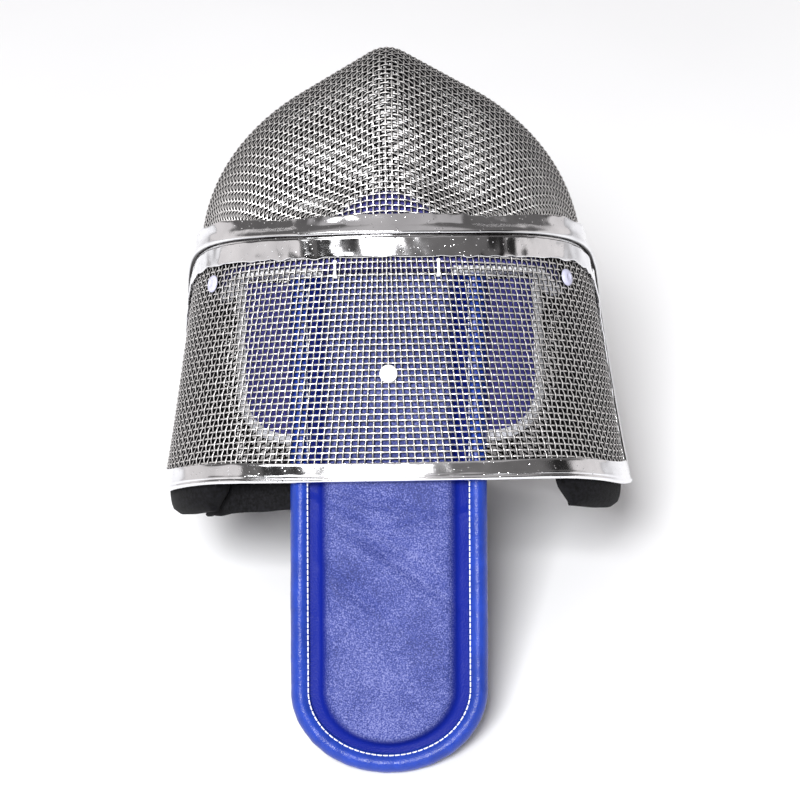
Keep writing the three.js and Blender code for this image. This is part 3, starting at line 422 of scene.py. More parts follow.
def row_end(t, shift=0.0, rim=0.0):
    """How far the crossing wire at t runs before it meets the seam or the rim."""
    t = np.asarray(t, float)
    low, high = np.zeros_like(t), np.full_like(t, LONGEST_RUN)
    for _ in range(HALVINGS):
        middle = (low + high) / 2
        p = raw_front(t, middle)
        depth, height = p[..., 1], p[..., 2]
        front = (depth >= SEAM_REACH + shift) | (height >= seam_height(depth, shift))
        outside = ~front | (height < rim)
        high = np.where(outside, middle, high)
        low = np.where(outside, low, middle)
    return low


def front_point(t, run, end=None):
    """Point of the front mesh, eased so that the end of its wire lies on the back mesh."""
    t, run = np.broadcast_arrays(np.asarray(t, float), np.asarray(run, float))
    end = row_end(t) if end is None else np.broadcast_to(end, t.shape)
    p, last = raw_front(t, run), raw_front(t, end)
    past = (last[..., 1] - SEAM_REACH) / (CHIN_DEPTH - SEAM_REACH)
    side = last[..., 0] * mix(CROWN_HALF_WIDTH / FRONT_HALF_WIDTH, 1, past)
    edge = np.where(last[..., 1] < SEAM_REACH, back_half_width(last[..., 1], last[..., 2]), side)
    share = np.where(end > 0, np.minimum(1, run / np.maximum(end, 1e-6)), 0)
    p[..., 0] += (edge - last[..., 0]) * share ** SECTION_EASE
    return p


def front_normal(t, run):
    """Outward direction of the front mesh."""
    after, before = np.minimum(t + PLACE_STEP, LAST_PLACE), np.maximum(t - PLACE_STEP, 0)
    along = front_point(after, run) - front_point(before, run)
    across = front_point(t, run + RUN_STEP) - front_point(t, np.maximum(0, run - RUN_STEP))
    return unit(np.cross(across, along))


def foot_row():
    """Place on the ridge whose crossing wire ends at the seam's foot."""
    low, high = 0.0, LAST_PLACE
    for _ in range(HALVINGS):
        middle = (low + high) / 2
        end = raw_front(middle, row_end(middle))
        low, high = (middle, high) if end[..., 2] > 0.5 else (low, middle)
    return low


def back_share_at_width(half):
    """Share q of the rim's section at a distance from the centre line."""
    q = np.linspace(0, BACK_ROUND_SHARE, FINE_SAMPLES)
    return float(np.interp(half, back_point(q, 0)[:, 0], q))


def ripple(u, v, seed, scale):
    """Smooth uneven field between about -1 and 1, the same in every run."""
    waves, shortest, longest, last_phase, spread = 9, 0.6, 1.7, 6.28, 3.6
    rng = np.random.default_rng(seed)
    total = np.zeros(np.broadcast(u, v).shape)
    for _ in range(waves):
        way = rng.uniform(0, 2 * math.pi)
        pace = 2 * math.pi / (scale * rng.uniform(shortest, longest))
        phase = rng.uniform(0, last_phase)
        total = total + np.sin((u * math.cos(way) + v * math.sin(way)) * pace + phase)
    return total / spread


def run_along(points):
    """Length of a path up to each of its points."""
    return np.concatenate([[0], np.cumsum(np.linalg.norm(np.diff(points, axis=0), axis=1))])


def taken_at(values, length, at):
    """Values along a path at other lengths."""
    return np.stack([np.interp(at, length, values[:, k]) for k in range(values.shape[1])], axis=-1)


def mirrored_path(points):
    """The path from its far end over the centre line to its mirrored far end."""
    return np.concatenate([points, (points * [-1, 1, 1])[::-1]])


# Mesh making

def mesh_object(name, points, faces, material, metres=False):
    """Object at the origin whose mesh holds its place; points are millimetres of the mask's frame."""
    place = points if metres else placed(np.asarray(points, float).reshape(-1, 3))
    mesh = bpy.data.meshes.new(name)
    mesh.from_pydata(place.tolist(), [], faces)
    mesh.validate()
    mesh.polygons.foreach_set("use_smooth", [True] * len(mesh.polygons))
    mesh.update()
    obj = bpy.data.objects.new(name, mesh)
    bpy.context.scene.collection.objects.link(obj)
    mesh.materials.append(material)
    return obj


def outward(points, faces):
    """The faces, turned over if the closed shape is inside out."""
    place = placed(points)
    volume = sum(np.dot(place[f[0]], np.cross(place[f[i]], place[f[i + 1]]))
                 for f in faces for i in range(1, len(f) - 1))
    return faces if volume > 0 else [tuple(reversed(f)) for f in faces]


def grid_faces(rows, columns, start=0, flip=False, wrap=False):
    """Quads of a grid of points."""
    faces = []
    for i in range(rows - 1):
        for j in range(columns if wrap else columns - 1):
            k = (j + 1) % columns
            face = (start + i * columns + j, start + i * columns + k,
                    start + (i + 1) * columns + k, start + (i + 1) * columns + j)
            faces.append(face[::-1] if flip else face)
    return faces


def closed_slab(outer, inner):
    """Points and faces of a closed shape between two grids of the same size."""
    rows, columns = outer.shape[:2]
    points = np.concatenate([outer.reshape(-1, 3), inner.reshape(-1, 3)])
    n = rows * columns
    faces = grid_faces(rows, columns) + grid_faces(rows, columns, n, flip=True)
    ring = [(0, j) for j in range(columns)] + [(i, columns - 1) for i in range(1, rows)]
    ring += [(rows - 1, j) for j in range(columns - 2, -1, -1)]
    ring += [(i, 0) for i in range(rows - 2, 0, -1)]
    for (a, b), (c, d) in zip(ring, ring[1:] + ring[:1]):
        p, q = a * columns + b, c * columns + d
        faces.append((p, n + p, n + q, q))
    return points, outward(points, faces)


def swept(sections):
    """Points and faces of a closed shape swept through sections of the same size."""
    rows, columns = sections.shape[:2]
    points = sections.reshape(-1, 3)
    faces = grid_faces(rows, columns, wrap=True)
    faces += [tuple(reversed(range(columns))), tuple((rows - 1) * columns + j for j in range(columns))]
    return points, outward(points, faces)


def point_value(obj, name, values):
    """Stores a value on each point of the mesh for its material."""
    store = obj.data.attributes.new(name, "FLOAT", "POINT")
    store.data.foreach_set("value", np.asarray(values, dtype=np.float32))


def merged(obj, distance=0.02 * MM):
    """Joins points of the mesh that lie on each other."""
    bm = bmesh.new()
    bm.from_mesh(obj.data)
    bmesh.ops.remove_doubles(bm, verts=bm.verts, dist=distance)
    bmesh.ops.recalc_face_normals(bm, faces=bm.faces)
    bm.to_mesh(obj.data)
    bm.free()
    obj.data.update()
    return obj


def cushion(name, wall, out, setback, thickness, material, bulge, thin):
    """Closed crowned pad that lies inside a wall: wall and out are grids, out points away from the head."""
    rows, columns = wall.shape[:2]
    v = np.linspace(-1, 1, rows)[:, None]
    u = np.linspace(-1, 1, columns)[None, :]
    fall = np.sqrt((1 - np.abs(u) ** bulge) * (1 - np.abs(v) ** bulge))
    fall = mix(thin, 1, fall)[..., None]
    outer = wall - out * (setback + thickness / 2 * (1 - fall))
    inner = wall - out * (setback + thickness / 2 * (1 + fall))
    points, faces = closed_slab(outer, inner)
    return merged(mesh_object(name, points, faces, material))


def oval_bar(path, depth_at, width, thickness, sides, wrinkle=None):
    """Sections of an oval bar along a path in x and height that follows a depth function."""
    way = unit(np.gradient(path, axis=0))
    angle = (np.arange(sides) + 0.5) / sides * 2 * math.pi
    grow = 1.0 if wrinkle is None else wrinkle(path, angle)
    side = np.cos(angle)[None, :] * width / 2 * grow
    x = path[:, :1] - way[:, 1:] * side
    height = path[:, 1:] + way[:, :1] * side
    return spot(x, depth_at(x, height) + np.sin(angle)[None, :] * thickness / 2 * grow, height)


def tab_path(half, top, tip, end_length, step):
    """Edge path of a tab: down one side, round its end and up the other, at an even step."""
    count = 200
    start = tip + end_length
    side = np.linspace(top, start, count)
    angle = np.linspace(0, math.pi, 2 * count)[1:-1]
    x = np.concatenate([np.full(count, -half), -half * np.cos(angle), np.full(count, half)])
    h = np.concatenate([side, start - end_length * np.sin(angle), side[::-1]])
    return even(np.stack([x, h], axis=-1), step)


def even(path, step):
    """The path with its points an even step apart."""
    length = run_along(path)
    count = max(2, int(round(length[-1] / step)) + 1)
    return taken_at(path, length, np.linspace(0, length[-1], count))


def finish_piece(obj, slot, *nodes):
    """Puts the piece on the mask's one body and hides the CAD nodes it stands for; slot is not used."""
    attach(obj, "root")
    if nodes:
        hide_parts(*nodes)
    return obj


# Geometry Nodes: round wire along stored lines

def wire_tree():
    """Tree that pushes each point along its stored way and sweeps a round wire along the lines."""
    tree = bpy.data.node_groups.get("Round wire")
    if tree:
        return tree
    tree = bpy.data.node_groups.new("Round wire", "GeometryNodeTree")
    face = tree.interface
    face.new_socket("Geometry", in_out="INPUT", socket_type="NodeSocketGeometry")
    for label, value in (("Wire Radius", 0.0005), ("Crimp Height", 0.0005)):
        item = face.new_socket(label, in_out="INPUT", socket_type="NodeSocketFloat")
        item.default_value = value
        item.subtype = "DISTANCE"
    item = face.new_socket("Sides", in_out="INPUT", socket_type="NodeSocketInt")
    item.default_value = 5
    face.new_socket("Finish", in_out="INPUT", socket_type="NodeSocketMaterial")
    face.new_socket("Geometry", in_out="OUTPUT", socket_type="NodeSocketGeometry")
    new, link = tree.nodes.new, tree.links.new
    start, stop = new("NodeGroupInput"), new("NodeGroupOutput")
    way = new("GeometryNodeInputNamedAttribute")
    way.data_type = "FLOAT_VECTOR"
    way.inputs["Name"].default_value = "crimp_way"
    scale = new("ShaderNodeVectorMath")
    scale.operation = "SCALE"
    link(way.outputs["Attribute"], scale.inputs[0])
    link(start.outputs["Crimp Height"], scale.inputs["Scale"])
    move = new("GeometryNodeSetPosition")
    link(start.outputs["Geometry"], move.inputs["Geometry"])
    link(scale.outputs["Vector"], move.inputs["Offset"])
    curve = new("GeometryNodeMeshToCurve")
    link(move.outputs["Geometry"], curve.inputs["Mesh"])
    circle = new("GeometryNodeCurvePrimitiveCircle")
    link(start.outputs["Sides"], circle.inputs["Resolution"])
    link(start.outputs["Wire Radius"], circle.inputs["Radius"])
    tube = new("GeometryNodeCurveToMesh")
    tube.inputs["Fill Caps"].default_value = True
    link(curve.outputs["Curve"], tube.inputs["Curve"])
    link(circle.outputs["Curve"], tube.inputs["Profile Curve"])
    face_out = new("GeometryNodeInputNamedAttribute")
    face_out.data_type = "FLOAT_VECTOR"
    face_out.inputs["Name"].default_value = "way_out"
    facing = new("ShaderNodeVectorMath")
    facing.operation = "DOT_PRODUCT"
    link(new("GeometryNodeInputNormal").outputs["Normal"], facing.inputs[0])
    link(face_out.outputs["Attribute"], facing.inputs[1])
    keep = new("GeometryNodeStoreNamedAttribute")
    keep.data_type = "FLOAT"
    keep.domain = "POINT"
    keep.inputs["Name"].default_value = "outer_side"
    link(tube.outputs["Mesh"], keep.inputs["Geometry"])
    link(facing.outputs["Value"], keep.inputs["Value"])
    shade = new("GeometryNodeSetShadeSmooth")
    link(keep.outputs["Geometry"], shade.inputs["Geometry"])
    real = new("GeometryNodeRealizeInstances")
    link(shade.outputs["Geometry"], real.inputs["Geometry"])
    paint = new("GeometryNodeSetMaterial")
    link(real.outputs["Geometry"], paint.inputs["Geometry"])
    link(start.outputs["Finish"], paint.inputs["Material"])
    link(paint.outputs["Geometry"], stop.inputs["Geometry"])
    return tree


def wires(name, lines, ways, radius, crimp, sides, material, outs=None):
    """Plain mesh of round wires: lines are lists of points in metres, ways the push of each point.

    outs are the outward directions of the mesh that the wires are part of, which the black paint and the
    painted shade on the wires' sides follow."""
    points = np.concatenate(lines)
    edges, start = [], 0
    for line in lines:
        edges += [(start + k, start + k + 1) for k in range(len(line) - 1)]
        start += len(line)
    mesh = bpy.data.meshes.new(name + "_lines")
    mesh.from_pydata(points.tolist(), edges, [])
    store = mesh.attributes.new("crimp_way", "FLOAT_VECTOR", "POINT")
    store.data.foreach_set("vector", np.concatenate(ways).astype(np.float32).ravel())
    store = mesh.attributes.new("way_out", "FLOAT_VECTOR", "POINT")
    store.data.foreach_set("vector", np.concatenate(outs or ways).astype(np.float32).ravel())
    draft = bpy.data.objects.new(name + "_lines", mesh)
    bpy.context.scene.collection.objects.link(draft)
    tree = wire_tree()
    modifier = draft.modifiers.new("Round wire", "NODES")
    modifier.node_group = tree
    socket = {i.name: i.identifier for i in tree.interface.items_tree if i.in_out == "INPUT"}
    modifier[socket["Wire Radius"]] = radius
    modifier[socket["Crimp Height"]] = crimp
    modifier[socket["Sides"]] = sides
    modifier[socket["Finish"]] = material
    graph = bpy.context.evaluated_depsgraph_get()
    result = bpy.data.meshes.new_from_object(draft.evaluated_get(graph))
    result.name = name
    bpy.data.objects.remove(draft)
    for attribute in [a.name for a in result.attributes if a.name in ("crimp_way", "way_out", "UVMap")]:
        result.attributes.remove(result.attributes[attribute])
    obj = bpy.data.objects.new(name, result)
    bpy.context.scene.collection.objects.link(obj)
    if not result.materials:
        result.materials.append(material)
    return obj


# Materials

class Finish:
    """A procedural material on Object coordinates, built up step by step."""

    def __init__(self, name, roughness=0.5, metallic=0.0, **sockets):
        self.material = bpy.data.materials.new("mask_" + name)
        self.material.use_nodes = True
        self.tree = self.material.node_tree
        self.shader = self.tree.nodes["Principled BSDF"]
        self.shader.inputs["Roughness"].default_value = roughness
        self.shader.inputs["Metallic"].default_value = metallic
        for key, value in sockets.items():
            self.shader.inputs[key.replace("_", " ")].default_value = value
        self.coord = self.tree.nodes.new("ShaderNodeTexCoord").outputs["Object"]
        self.bumps = None

    def node(self, kind, **values):
        """New node with plain input values."""
        made = self.tree.nodes.new(kind)
        for key, value in values.items():
            made.inputs[key.replace("_", " ")].default_value = value
        return made

    def join(self, a, b):
        """Links an output to an input."""
        self.tree.links.new(a, b)

    def stretched(self, scale):
        """Object coordinates with their own scale along each axis."""
        mapping = self.node("ShaderNodeMapping")
        mapping.inputs["Scale"].default_value = scale
        self.join(self.coord, mapping.inputs["Vector"])
        return mapping.outputs["Vector"]

    def noise(self, scale, detail=3.0, rough=0.5, source=None):
        """Noise over the object."""
        made = self.node("ShaderNodeTexNoise", Scale=scale, Detail=detail, Roughness=rough)
        self.join(source or self.coord, made.inputs["Vector"])
        return made.outputs["Fac"]

    def cells(self, scale, source=None, feature="F1"):
        """Cell pattern over the object."""
        made = self.node("ShaderNodeTexVoronoi", Scale=scale)
        made.feature = feature
        self.join(source or self.coord, made.inputs["Vector"])
        return made.outputs["Distance"]

    def ramp(self, value, stops):
        """Colours along a value."""
        made = self.node("ShaderNodeValToRGB")
        line = made.color_ramp.elements
        while len(line) < len(stops):
            line.new(0.5)
        for item, (place, color) in zip(line, stops):
            item.position = place
            item.color = (*color, 1)
        self.join(value, made.inputs["Fac"])
        return made.outputs["Color"]

    def sum(self, first, weight, second, other):
        """Two values added with weights, about 0.5."""
        scaled = self.node("ShaderNodeMath")
        scaled.operation = "MULTIPLY_ADD"
        scaled.inputs[1].default_value = weight
        scaled.inputs[2].default_value = 0.5 - 0.5 * (weight + other)
        self.join(first, scaled.inputs[0])
        total = self.node("ShaderNodeMath")
        total.operation = "MULTIPLY_ADD"
        total.inputs[1].default_value = other
        self.join(second, total.inputs[0])
        self.join(scaled.outputs["Value"], total.inputs[2])
        return total.outputs["Value"]

    def mixed(self, share, first, plain):
        """A colour that goes over into a plain one."""
        made = self.tree.nodes.new("ShaderNodeMix")
        made.data_type = "RGBA"
        colours = [i for i in made.inputs if i.type == "RGBA"]
        self.join(share, made.inputs["Factor"])
        self.join(first, colours[0])
        colours[1].default_value = (*plain, 1)
        return [o for o in made.outputs if o.type == "RGBA"][0]

    def paint(self, value, stops):
        """Base colour from a value."""
        self.join(self.ramp(value, stops), self.shader.inputs["Base Color"])
        return self

    def rough(self, value, low, high):
        """Roughness that follows a value."""
        made = self.node("ShaderNodeMapRange")
        made.inputs["To Min"].default_value = low
        made.inputs["To Max"].default_value = high
        self.join(value, made.inputs["Value"])
        self.join(made.outputs["Result"], self.shader.inputs["Roughness"])
        return self

    def bump(self, value, distance, strength=1.0):
        """Adds a layer of fine relief."""
        made = self.node("ShaderNodeBump", Strength=strength, Distance=distance)
        self.join(value, made.inputs["Height"])
        if self.bumps:
            self.join(self.bumps, made.inputs["Normal"])
        self.bumps = made.outputs["Normal"]
        self.join(self.bumps, self.shader.inputs["Normal"])
        return self


def steel_wire(name, bright):
    """Drawn zinc-coated wire: bright with dull spots on its outward crest, black paint on the side to the
    head that reaches round the wire's sides as painted shade.
    """
    f = Finish(name, 0.3, 1.0, Specular_IOR_Level=0.02)
    # bright scales the wire's colour; the darker copy is painted shade
    spots = f.ramp(f.noise(900, 3), [(0.3, shade((0.75, 0.73, 0.72), bright)),
                                     (0.62, shade((0.97, 0.95, 0.94), bright))])
    side = f.tree.nodes.new("ShaderNodeAttribute")
    side.attribute_name = "outer_side"
    # Wire that faces the mesh's outward side less than 0.53 is black: in part paint on the side to the head,
    # in part painted shade on the wire's sides
    unshaded_crest = f.node("ShaderNodeMapRange")
    unshaded_crest.inputs["From Min"].default_value = 0.53
    unshaded_crest.inputs["From Max"].default_value = 0.88
    f.join(side.outputs["Fac"], unshaded_crest.inputs["Value"])
    mixer = f.tree.nodes.new("ShaderNodeMix")
    mixer.data_type = "RGBA"
    colours = [i for i in mixer.inputs if i.type == "RGBA"]
    colours[0].default_value = (0.006, 0.006, 0.007, 1)
    f.join(unshaded_crest.outputs["Result"], mixer.inputs["Factor"])
    f.join(spots, colours[1])
    f.join([o for o in mixer.outputs if o.type == "RGBA"][0], f.shader.inputs["Base Color"])
    f.join(unshaded_crest.outputs["Result"], f.shader.inputs["Metallic"])
    f.rough(f.noise(300, 2), 0.28, 0.42)
    f.bump(f.noise(2500, 2), 0.00005, 0.5)
    return f.material


def chrome_strip():
    """Polished strip with small dents and smears, painted near black as shade in the crevice under the bead.
    """
    f = Finish("bright_strip", 0.1, 1.0)
    metal = f.ramp(f.noise(60, 4), [(0.3, (0.72, 0.72, 0.74)), (0.7, (0.93, 0.93, 0.95))])
    # Near-black painted shade where the crevice under the bead is
    crevice_shade = f.tree.nodes.new("ShaderNodeAttribute")
    crevice_shade.attribute_name = "crevice_shade_share"
    f.join(f.mixed(crevice_shade.outputs["Fac"], metal, (0.012, 0.01, 0.01)), f.shader.inputs["Base Color"])
    f.rough(f.noise(110, 4, 0.6), 0.02, 0.2)
    f.bump(f.noise(90, 2), 0.0004, 0.3)
    specks = f.ramp(f.cells(420), [(0.0, (1, 1, 1)), (0.16, (0, 0, 0))])
    f.bump(specks, 0.00025, 0.7)
    f.bump(f.noise(1500, 3), 0.00005, 0.35)
    return f.material


def dull_strip():
    """Grey folded strip at the chin."""
    f = Finish("dull_strip", 0.35, 1.0)
    f.paint(f.noise(80, 4), [(0.3, (0.4, 0.4, 0.42)), (0.7, (0.68, 0.68, 0.7))])
    f.rough(f.noise(150, 3), 0.25, 0.5)
    f.bump(f.noise(200, 2), 0.0005, 0.5)
    return f.material


def leather(name, dark, light, gloss, shine=0.12):
    """Grained leatherette with a soft sheen."""
    f = Finish(name, gloss, 0.0, Specular_IOR_Level=shine)
    f.paint(f.noise(75, 6, 0.65), [(0.35, dark), (0.65, light)])
    f.rough(f.noise(350, 3), gloss - 0.08, gloss + 0.14)
    f.bump(f.cells(1300), 0.00018, 0.6)
    f.bump(f.noise(2200, 3), 0.0001, 0.5)
    f.bump(f.noise(160, 2), 0.0006, 0.25)
    return f.material


def panel_leather(look):
    """Finely speckled leatherette whose broad pale patches are painted sheen, and which turns plain and
    darker beside the edge roll: partly the flange's own plain tone, partly painted shade of the groove.
    """
    f = Finish("blue_leather", 0.45, 0.0, Specular_IOR_Level=0.08)
    # Fine specks are grain; the broad pale patches stand in for sheen and are painted sheen
    total = f.sum(f.noise(1500, 2, 0.6), 1.0, f.noise(34, 4, 0.55), 0.45)
    speckled = f.ramp(total, [(0.34, shade(look.leather, 0.55)), (0.5, tuple(look.leather)),
                              (0.68, tuple(look.pale_speckle_sheen))])
    # The groove colour beside the roll is partly painted shade
    seam = f.tree.nodes.new("ShaderNodeAttribute")
    seam.attribute_name = "groove_shade_share"
    f.join(f.mixed(seam.outputs["Fac"], speckled, tuple(look.groove)), f.shader.inputs["Base Color"])
    f.rough(f.noise(350, 3), 0.36, 0.55)
    f.bump(f.cells(1300), 0.00018, 0.6)
    f.bump(f.noise(2200, 3), 0.0001, 0.5)
    return f.material


def cloth(name, dark, light, scale, rough=0.85, nap=0.1):
    """Woven or napped cloth."""
    f = Finish(name, rough, 0.0, Sheen_Weight=nap, Sheen_Roughness=0.5, Specular_IOR_Level=0.1)
    f.paint(f.noise(scale * 0.4, 5), [(0.3, dark), (0.7, light)])
    f.bump(f.noise(scale, 4, 0.7), 0.0003, 0.8)
    f.bump(f.noise(120, 3), 0.0009, 0.4)
    return f.material


def white_plastic(name, dark, light):
    """Moulded white plastic."""
    f = Finish(name, 0.3, 0.0, Specular_IOR_Level=0.25)
    f.paint(f.noise(300, 2), [(0.3, dark), (0.7, light)])
    f.rough(f.noise(500, 2), 0.22, 0.4)
    f.bump(f.noise(1200, 2), 0.00004, 0.4)
    return f.material


def thread():
    """Pale sewing thread."""
    f = Finish("pale_thread", 0.7, 0.0, Sheen_Weight=0.2)
    f.paint(f.noise(900, 3), [(0.3, (0.62, 0.64, 0.75)), (0.7, (0.88, 0.89, 0.95))])
    f.bump(f.noise(4000, 2), 0.0001, 0.6)
    return f.material


def finish(key):
    """Material of the given finish, made once."""
    look = bpy.context.scene.mask_colours
    edge, lining, binding = tuple(look.edge), tuple(look.lining), tuple(look.binding)
    black = (0.002, 0.002, 0.002)
    makers = {
        "steel_wire": lambda: steel_wire("steel_wire", 1.0),
        # The middle upright columns of the back mesh take this copy of the wire with its colour at 0.6:
        # painted shade
        "upright_wire_painted_shade": lambda: steel_wire("upright_wire_painted_shade", 0.6),
        "bright_strip": chrome_strip,
        "dull_strip": dull_strip,
        "blue_leather": lambda: panel_leather(look),
        "blue_edge": lambda: leather("blue_edge", shade(edge, 0.7), edge, 0.32, 0.3),
        "blue_cloth": lambda: cloth("blue_cloth", shade(lining, 0.6), lining, 1500),
        "pale_binding": lambda: cloth("pale_binding", shade(binding, 0.75), binding, 1800, 0.7),
        "black_foam": lambda: cloth("black_foam", black, (0.008, 0.008, 0.01), 1400, 0.9, 0.02),
        "black_elastic": lambda: cloth("black_elastic", black, (0.01, 0.01, 0.012), 1700, 0.8, 0.02),
        "white_plastic": lambda: white_plastic("white_plastic", (0.82, 0.82, 0.84), (0.95, 0.95, 0.96)),
        # The side rivets' copy of the white plastic is darker and bluer: painted shade
        "white_plastic_painted_shade": lambda: white_plastic("white_plastic_painted_shade", (0.42, 0.42, 0.55), (0.52, 0.52, 0.66)),
        "pale_thread": thread,
    }
    return bpy.data.materials.get("mask_" + key) or makers[key]()


def shade(color, share):
    """A darker tone of a colour."""
    return tuple(c * share for c in color)


# Sizes and colours that a user would change

class MaskWeave(bpy.types.PropertyGroup):
    """Wire of the two meshes."""

    pitch: bpy.props.FloatProperty(name="Wire pitch", description="Distance between neighbouring wires",
                                   default=0.003, min=0.002, max=0.01, unit="LENGTH")
    diameter: bpy.props.FloatProperty(name="Wire diameter", description="Thickness of the wire",
                                      default=0.00105, min=0.0004, max=0.002, unit="LENGTH")
    crimp: bpy.props.FloatProperty(name="Crimp", description="How far a wire bends to pass its neighbours",
                                   default=0.00048, min=0, max=0.001, unit="LENGTH")
    sides: bpy.props.IntProperty(name="Sides", description="Facets round a wire", default=5, min=3, max=12)


class MaskColours(bpy.types.PropertyGroup):
    """Colours of the covers."""

    leather: bpy.props.FloatVectorProperty(name="Tongue", description="Colour of the tongue's panel",
                                           default=(0.044, 0.058, 0.225), subtype="COLOR", min=0, max=1)
    edge: bpy.props.FloatVectorProperty(name="Edge roll", description="Colour of the roll round the tongue",
                                        default=(0.012, 0.042, 0.32), subtype="COLOR", min=0, max=1)
    # The groove colour is partly painted shade of the groove beside the roll
    groove: bpy.props.FloatVectorProperty(name="Groove", description="Colour beside the edge roll",
                                          default=(0.004, 0.012, 0.19), subtype="COLOR", min=0, max=1)
    # Pale tone of the panel's specks and of its painted sheen patches
    pale_speckle_sheen: bpy.props.FloatVectorProperty(name="Speckles", description="Colour of the panel's pale specks",
                                           default=(0.16, 0.175, 0.38), subtype="COLOR", min=0, max=1)
    lining: bpy.props.FloatVectorProperty(name="Pads", description="Colour of the inner blue pads",
                                          default=(0.07, 0.068, 0.3), subtype="COLOR", min=0, max=1)
    binding: bpy.props.FloatVectorProperty(name="Binding", description="Colour of the pads' binding",
                                           default=(0.9, 0.91, 0.96), subtype="COLOR", min=0, max=1)


class MaskTrim(bpy.types.PropertyGroup):
    """Details of the tongue and strips."""

    stitch_length: bpy.props.FloatProperty(name="Stitch length", description="Length of one stitch",
                                           default=0.0021, min=0.001, max=0.01, unit="LENGTH")
    stitch_gap: bpy.props.FloatProperty(name="Stitch gap", description="Gap between two stitches",
                                        default=0.0008, min=0.0002, max=0.01, unit="LENGTH")
    groove: bpy.props.FloatProperty(name="Groove", description="Depth of the seam beside the edge roll",
                                    default=0.0045, min=0, max=0.006, unit="LENGTH")
    dents: bpy.props.FloatProperty(name="Dents", description="Height of the dents in the bright strip",
                                   default=0.00012, min=0, max=0.001, unit="LENGTH")


class MaskStage(bpy.types.PropertyGroup):
    """Camera and light."""

    distance: bpy.props.FloatProperty(name="Distance", description="Camera's distance behind the mask",
                                      default=1.3, min=0.5, max=4, unit="LENGTH")
    axis_height: bpy.props.FloatProperty(name="Axis height", description="Camera's height over the rim plane",
                                         default=0.038, min=-0.1, max=0.3, unit="LENGTH")
    focal: bpy.props.FloatProperty(name="Focal length", description="Lens of the camera in millimetres",
                                   default=123.9, min=20, max=300)
    roll: bpy.props.FloatProperty(name="Roll", description="Turn of the camera about its axis",
                                  default=math.radians(1.0), subtype="ANGLE")
    yaw: bpy.props.FloatProperty(name="Yaw", description="How far the camera stands to the mask's right",
                                 default=math.radians(1.5), subtype="ANGLE")
    side: bpy.props.FloatProperty(name="Side shift", description="Place of the mask's middle across",
                                  default=-0.0052, min=-0.1, max=0.1, unit="LENGTH")
    key: bpy.props.FloatProperty(name="Key light", description="Power of the large soft light", default=300)
    fill: bpy.props.FloatProperty(name="Fill light", description="Power of the second light", default=14)
    sky: bpy.props.FloatProperty(name="Sky", description="Strength of the surrounding light", default=0.9)


# Tones of the room across the camera's side, where 0 is the mask's right and 1 its left
ROOM_TONES = [
    (0.0, 0.9), (0.02, 0.85), (0.035, 0.02), (0.075, 0.03), (0.1, 0.16), (0.45, 0.2), (0.5, 0.34),
    (0.55, 0.24), (0.67, 0.2), (0.71, 0.02), (0.83, 0.02), (0.86, 0.15), (0.9, 0.16), (0.915, 0.85),
    (1.0, 0.9),
]

# Tones of the room beyond the mask by height, share of the roof by height, and the roof's tone
SWEEP_TONES = [(0.0, 0.9), (0.3, 0.85), (0.4, 0.15), (1.0, 0.15)]
ROOF_SHARE = [(0.0, 0.0), (0.74, 0.0), (0.84, 1.0)]
ROOF_TONE = (0.55, 0.53, 0.53)

# Bright panel round the camera: cosines of its outer and inner edge, and its tone
PANEL_EDGE = 0.9925
PANEL_FULL = 0.9955
PANEL_TONE = (1.9, 1.85, 1.85)

# Lights in metres: the key in the mask's frame, just over the camera, and the fill overhead
KEY_PLACE = (0.5, -4.4, 0.75)
KEY_SIZE = 1.1
FILL_PLACE = (1.0, 0.9, 2.0)
FILL_SIZE = 1.2
LIGHTS_AIM = (0, 0, 0.12)
SENSOR_WIDTH = 36
FLOOR_SIZE = 12


# Pieces

